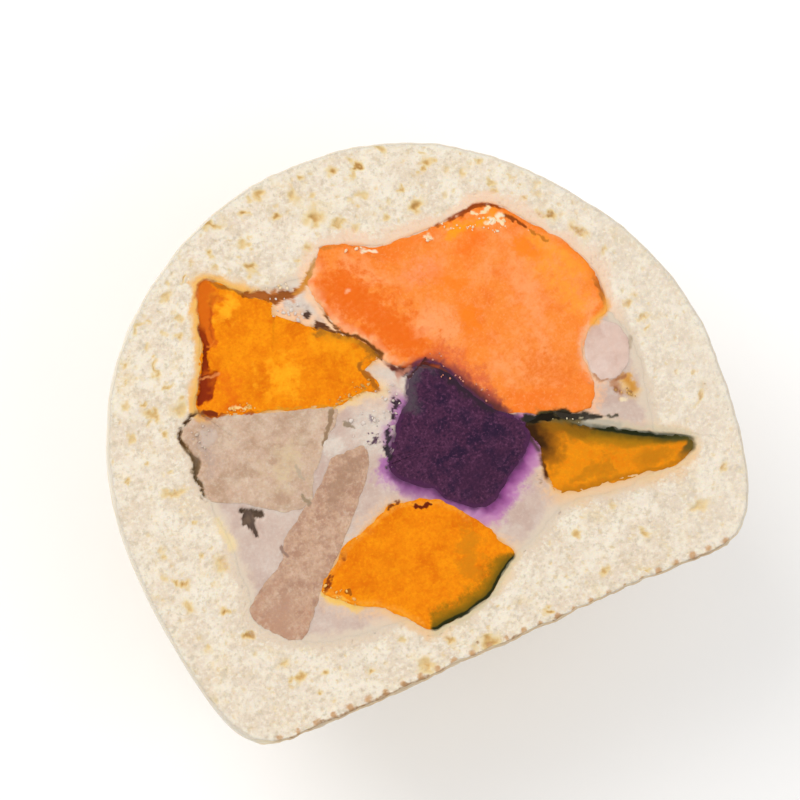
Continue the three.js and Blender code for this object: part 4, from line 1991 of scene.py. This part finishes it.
PUMPKIN_SLICE_MARKS = (
    blush(195, 345, -0.1, 0.9, "#b46e0e", 0.75),
    blush(200, 340, -2.2, 2.6, "#bc750e", 0.6, broken=0.5, torn=2),
    halo(190, 340, 0.7, 2.0, "#e8bc86", 0.5),
    blush(345, 487, -1.2, 2.0, "#9e700e", 0.88, fade=6, torn=0.4),
    blush(345, 487, -0.5, 1.2, "#5e4c10", 0.9, fade=6, torn=0.4),
    Seam(346, 486, -0.05, 0.62, "#32321a", soft=0.6, fade=5, torn=0.3, core="#20240f"),
    # Painted shadow: grey on the mash and bread just beyond the rind.
    halo(346, 470, 0.7, 0.9, "#c4bca4", 0.6),
    Seam(336, 350, -0.2, 0.7, "#4e4a20", 0.85),
    Seam(160, 184, 0.1, 0.5, "#7a4410", 0.9, broken=0.2, core="#4c240a"),
    # Painted shade at the slice's dark left end by the crevice: deep brown on the slice, near black by its
    # edge and on the mash and bread beside it.
    cloud((134, -2.2), (158, -1.0), (5.6, 3.6), "#8e540c", 0.95, torn=0.5),
    Stroke((136, -0.2), (150, -0.2), (3.8, 2.6), "#3a2008", 1.0, soft=0.9, torn=0.5, on=On.OWN),
    Stroke((140, 0.3), (156, 0.5), (0.8, 0.6), "#3a2410", 0.9, soft=0.9, torn=0.5, on=On.SOFT),
    cloud((122, -2.4), (110, -1.6), (2.8, 1.8), "#90600f", 0.85),
    cloud((325, -3.8), (334, -2.4), (2.4, 1.8), "#c2790e", 0.5, torn=1.8),
    # Painted shade in the crevice above the slice: olive-brown under the void streak, then a grey shadow
    # beyond the rind.
    Stroke((126, -0.2), (100, 0.7), (1.2, 0.9), "#6a5a30", 0.95, soft=0.9, torn=0.5),
    Stroke((92, 0.8), (30, 0.9), (0.8, 0.6), "#a8a394", 0.6, soft=1),
    # The void streak in that crevice, dug a little in: its near-black is painted shadow.
    Stroke((133, 0.4), (113, 1.7), (0.9, 0.95), "#443a20", depth=0.3, torn=0.6, core="#1e180e"),
    Stroke((113, 1.7), (93, 1.4), (0.95, 0.8), "#50462c", depth=0.3, torn=0.6, core="#282012"),
    Stroke((93, 1.4), (64, 1.6), (0.75, 0.35), "#5c5040", torn=0.8, core="#33291c"),
    Stroke((98, 1.2), (95, 1.2), (0.25, 0.2), "#c4b896", 0.7, depth=-0.1, soft=0.8, torn=0.4),
    Stroke((52, 1.7), (37, 1.9), (0.4, 0.35), "#736856", 0.95, torn=1.6, core="#544a3c"),
    Stroke((180, 1.4), (183, 1.2), (0.35, 0.3), "#7a5638", 0.8, torn=2),
)

PUMPKIN_BLOCK_MARKS = (
    halo(165, 194, 0.4, 1.1, "#f0c25e", 0.85),
    halo(200, 256, 0.5, 1.3, "#e9bc8a", 0.6),
    blush(20, 250, -0.2, 0.9, "#f9a83c", 0.4),
    blush(256, 343, -0.9, 2.7, "#9c6c0a", 0.85, fade=6, torn=0.4),
    blush(256, 343, -0.4, 1.0, "#6e560e", 0.85, fade=6, torn=0.4),
    Seam(256, 342, 0.0, 0.38, "#34340f", soft=0.6, fade=4, torn=0.3, core="#26280e"),
    halo(256, 342, 0.5, 0.8, "#c9bd9a", 0.6),
    Seam(150, 174, -0.3, 0.7, "#b65c0c", 0.9, depth=0.1, broken=0.4, torn=2, core="#86360a"),
    Seam(176, 186, -0.2, 0.5, "#f2b040", 0.8, broken=0.4, torn=2, on=On.OWN),
    Stroke((73, -0.5), (62, -0.4), (1.0, 0.8), "#a84c0a", core="#6a2006", torn=2),
    Stroke((95, 0.1), (88, 0.1), (0.35, 0.3), "#7a3408", 0.9, torn=2),
    Stroke((179, -2.5), (176, -2.2), (0.35, 0.3), "#a4580c", 0.9, torn=2),
    cloud((0, -3.5), (330, -4.5), (3.4, 3.0), "#d27f0e", 0.8),
)

TARO_BLOCK_MARKS = (
    # Dug-in gaps along the taro block's left side: their brown is partly stain and partly painted shade, the
    # darker cores painted shade.
    Seam(122, 154, 0.2, 0.5, "#8a683c", depth=0.3, broken=0.2, torn=1.4, core="#54381a"),
    Seam(152, 197, 0.15, 0.6, "#86683e", depth=0.3, broken=0.5, torn=1.4, core="#5a4426"),
    Stroke((133, -3.2), (148, -2.6), (1.3, 0.9), "#dbcbbb", 0.75, soft=0.7, torn=1.3, on=On.OWN),
    Seam(130, 172, -1.8, 0.5, "#a08b7b", 0.7, soft=0.8, broken=0.5, torn=2, on=On.OWN),
    blush(230, 330, -0.2, 0.7, "#b99b84", 0.4),
    blush(120, 200, -1.2, 1.6, "#b8957a", 0.4),
    cloud((300, -5.0), (340, -4.5), (4.2, 3.6), "#d3bb98", 0.6),
    cloud((130, -2.6), (178, -2.0), (2.6, 1.8), "#b79e90", 0.5),
    Stroke((214, 3.0), (229, 6.2), (1.0, 1.1), "#ecd3a0", 0.8, soft=1),
    # A small triangular hole, dug in: its dark brown is painted shade inside it.
    Stroke((228, 1.0), (247, 0.9), (0.5, 0.75), "#7c6452", depth=0.6, torn=0.5, core="#54402f"),
    Stroke((236, 1.7), (245, 4.0), (1.25, 0.35), "#7c6452", depth=0.6, torn=0.5, core="#5c483c"),
    Stroke((237, 2.2), (233, 3.0), (0.8, 0.35), "#6e5847", 0.95, depth=0.4, torn=0.8),
    Stroke((9, -0.7), (348, -0.1), (0.42, 0.5), "#967a5e", 0.95, on=On.OWN),
    Stroke((295, -1.3), (292, 0.1), (0.35, 0.35), "#9c866c", 0.9),
    Stroke((323, -2.7), (311, -1.2), (0.3, 0.3), "#b5a18b", 0.8),
)

TARO_STICK_MARKS = (
    blush(62, 202, -0.5, 1.2, "#b48e78", 0.4),
    blush(198, 246, -0.5, 2.2, "#b78a70", 0.5),
    Stroke((155, 0.5), (171, -0.5), (0.4, 0.35), "#96796a", 0.9),
    cloud((42, -2.4), (47, -7.0), (3.4, 2.6), "#a8846c", 0.8),
    cloud((222, -1.5), (222, -4.5), (3.6, 2.6), "#b89078", 0.7),
)

YAM_DISC_MARKS = (
    Seam(100, 250, 0.5, 1.2, "#f3c39c", 0.5, soft=1, on=On.AROUND),
    Seam(215, 250, 0.2, 0.3, "#c08a66", 0.8, broken=0.3),
    Seam(330, 368, 0.4, 0.35, "#b09a80", 0.7, broken=0.4),
    Stroke((280, 1.4), (279, 3.4), (2.0, 1.7), "#e6c184", 0.9, soft=1, torn=0.6, on=On.SOFT),
    Stroke((258, 0.8), (264, 2.4), (1.3, 1.1), "#b98560", 0.9, soft=1, torn=0.6, on=On.SOFT),
    Stroke((282, 1.4), (280, 3.0), (1.3, 1.0), "#c88824", 0.92, soft=1, torn=0.8, on=On.SOFT),
    Stroke((262, 0.5), (284, 0.7), (0.5, 0.5), "#a86c44", 0.9, depth=0.1, soft=0.9),
    Stroke((259, 1.7), (262, 2.1), (0.4, 0.35), "#94582c", 0.85, soft=0.9),
    Stroke((264, 3.3), (268, 3.6), (0.35, 0.3), "#ecd9b4", 0.8, soft=0.8),
)

CHUNKS = (
    Chunk("sweet_potato", "sweet_potato", Flesh.SWEET_POTATO, 640, 84, lift=0.02, marks=SWEET_POTATO_MARKS),
    Chunk(
        "purple_sweet_potato", "purple_sweet_potato", Flesh.PURPLE, 440, 56,
        lift=-0.02, ragged=0.16, bulges=((66, 108, 0.6), (160, 232, -1.0)),
        marks=PURPLE_SWEET_POTATO_MARKS,
    ),
    Chunk(
        "pumpkin_wedge", "pumpkin", Flesh.PUMPKIN, 540, 66,
        lift=-0.02, bulges=((114, 140, 0.5),),
        marks=PUMPKIN_WEDGE_MARKS,
    ),
    Chunk(
        "pumpkin_slice", "pumpkin", Flesh.PUMPKIN, 460, 46,
        lift=-0.04, wash=("#e08c10", 0.55),
        marks=PUMPKIN_SLICE_MARKS,
    ),
    Chunk("pumpkin_block", "pumpkin", Flesh.PUMPKIN, 500, 58, marks=PUMPKIN_BLOCK_MARKS),
    Chunk("taro_block", "taro", Flesh.TARO, 460, 56, ragged=0.16, marks=TARO_BLOCK_MARKS),
    Chunk("taro_stick", "taro", Flesh.TARO_END, 500, 40, ragged=0.16, marks=TARO_STICK_MARKS),
    Chunk("yam_disc", "yam", Flesh.YAM, 240, 30, lift=0.02, ragged=0.06, marks=YAM_DISC_MARKS),
)

BREAD_BITS = (
    ("sweet_potato", Crumbs((68, -1.0), (46, -0.9), 0.4, 6, (0.15, 0.35), ("#f5e0bc", "#eec890"))),
    ("sweet_potato", Crumbs((56, -2.8), (48, -0.9), 0.4, 5, (0.2, 0.4), ("#f6e4c6", "#f0cc98"))),
    ("sweet_potato", Crumbs((103, -1.2), (98, -0.8), 0.35, 3, (0.2, 0.35), ("#f4e0c0", "#f0c898"))),
    ("sweet_potato", Crumbs((132, -1.0), (127, -0.6), 0.35, 3, (0.2, 0.4), ("#f4dcbc", "#f2c494"))),
    ("sweet_potato", Crumbs((90, -0.2), (30, -0.2), 0.3, 24, (0.1, 0.26), ("#f0dcbc", "#eec08c"))),
    ("sweet_potato", Crumbs((204, -1.2), (262, -1.2), 0.7, 18, (0.1, 0.2), ("#d88a70", "#b86450"))),
    ("pumpkin_wedge", Crumbs((92, 0.6), (48, 5.0), 0.3, 8, (0.12, 0.3), ("#efdcc0", "#e6c48c"))),
)
PURPLE_BITS = (
    ("purple_sweet_potato", Crumbs((122, 1.4), (176, 0.6), 0.6, 24, (0.08, 0.22), ("#3c2036", "#7c5874"))),
    ("purple_sweet_potato", Crumbs((150, 3.0), (165, 2.2), 0.8, 12, (0.08, 0.22), ("#4a3042", "#8a6a80"))),
)
PUMPKIN_BITS = (
    ("pumpkin_wedge", Crumbs((206, -1.0), (226, -0.7), 0.35, 20, (0.1, 0.28), ("#f0c878", "#e09828"))),
    ("pumpkin_wedge", Crumbs((298, 0.2), (326, 0.2), 0.35, 20, (0.1, 0.28), ("#e6a83c", "#b87c22"))),
    ("pumpkin_block", Crumbs((168, 0.3), (190, 0.3), 0.4, 14, (0.1, 0.26), ("#f0bc58", "#e69a2c"))),
    ("pumpkin_slice", Crumbs((121, -0.6), (98, 0.6), 0.25, 5, (0.08, 0.2), ("#dcd2b4", "#a89458"))),
    ("yam_disc", Crumbs((268, 2.0), (278, 3.6), 0.5, 10, (0.1, 0.28), ("#d8a850", "#a87434"))),
)
MASH_BITS = (
    ("pumpkin_wedge", Crumbs((60, 1.4), (24, 2.0), 0.7, 22, (0.12, 0.36), ("#ddd0c5", "#cdbab0"))),
    ("purple_sweet_potato", Crumbs((112, 2.2), (160, 4.2), 1.1, 30, (0.12, 0.36), ("#ddd0c6", "#c8b6ac"))),
    ("taro_block", Crumbs((128, -1.6), (160, -1.8), 0.9, 12, (0.1, 0.3), ("#d4c2b0", "#c2ae9a"))),
)


def main() -> None:
    """Builds the stage and every piece of the half, each in place of an imported node, which stays in the
    scene hidden.
    """
    logging.basicConfig(level=logging.INFO, format="%(name)s %(message)s")
    Stage().build()
    face = CutFace(CHUNKS)
    Bread(face).build()
    Mash(face).build()
    materials = {flesh: flesh.value.build() for flesh in Flesh if flesh is not Flesh.MASH}
    for number, chunk in enumerate(CHUNKS):
        ChunkPiece(chunk, face, Seed.CHUNK + 20 * number).build(materials[chunk.flesh])
    purple = "purple_sweet_potato"
    LooseBits("bread_crumbs", "bread", "bread", face, Seed.BREAD_BITS, BREAD_BITS).build()
    LooseBits("purple_crumbs", purple, purple, face, Seed.PURPLE_BITS, PURPLE_BITS).build()
    LooseBits("pumpkin_scraps", "pumpkin", "pumpkin_wedge", face, Seed.PUMPKIN_BITS, PUMPKIN_BITS).build()
    LooseBits("mash_flakes", "taro_mash", "taro_mash", face, Seed.MASH_BITS, MASH_BITS).build()


if __name__ == "__main__":
    main()
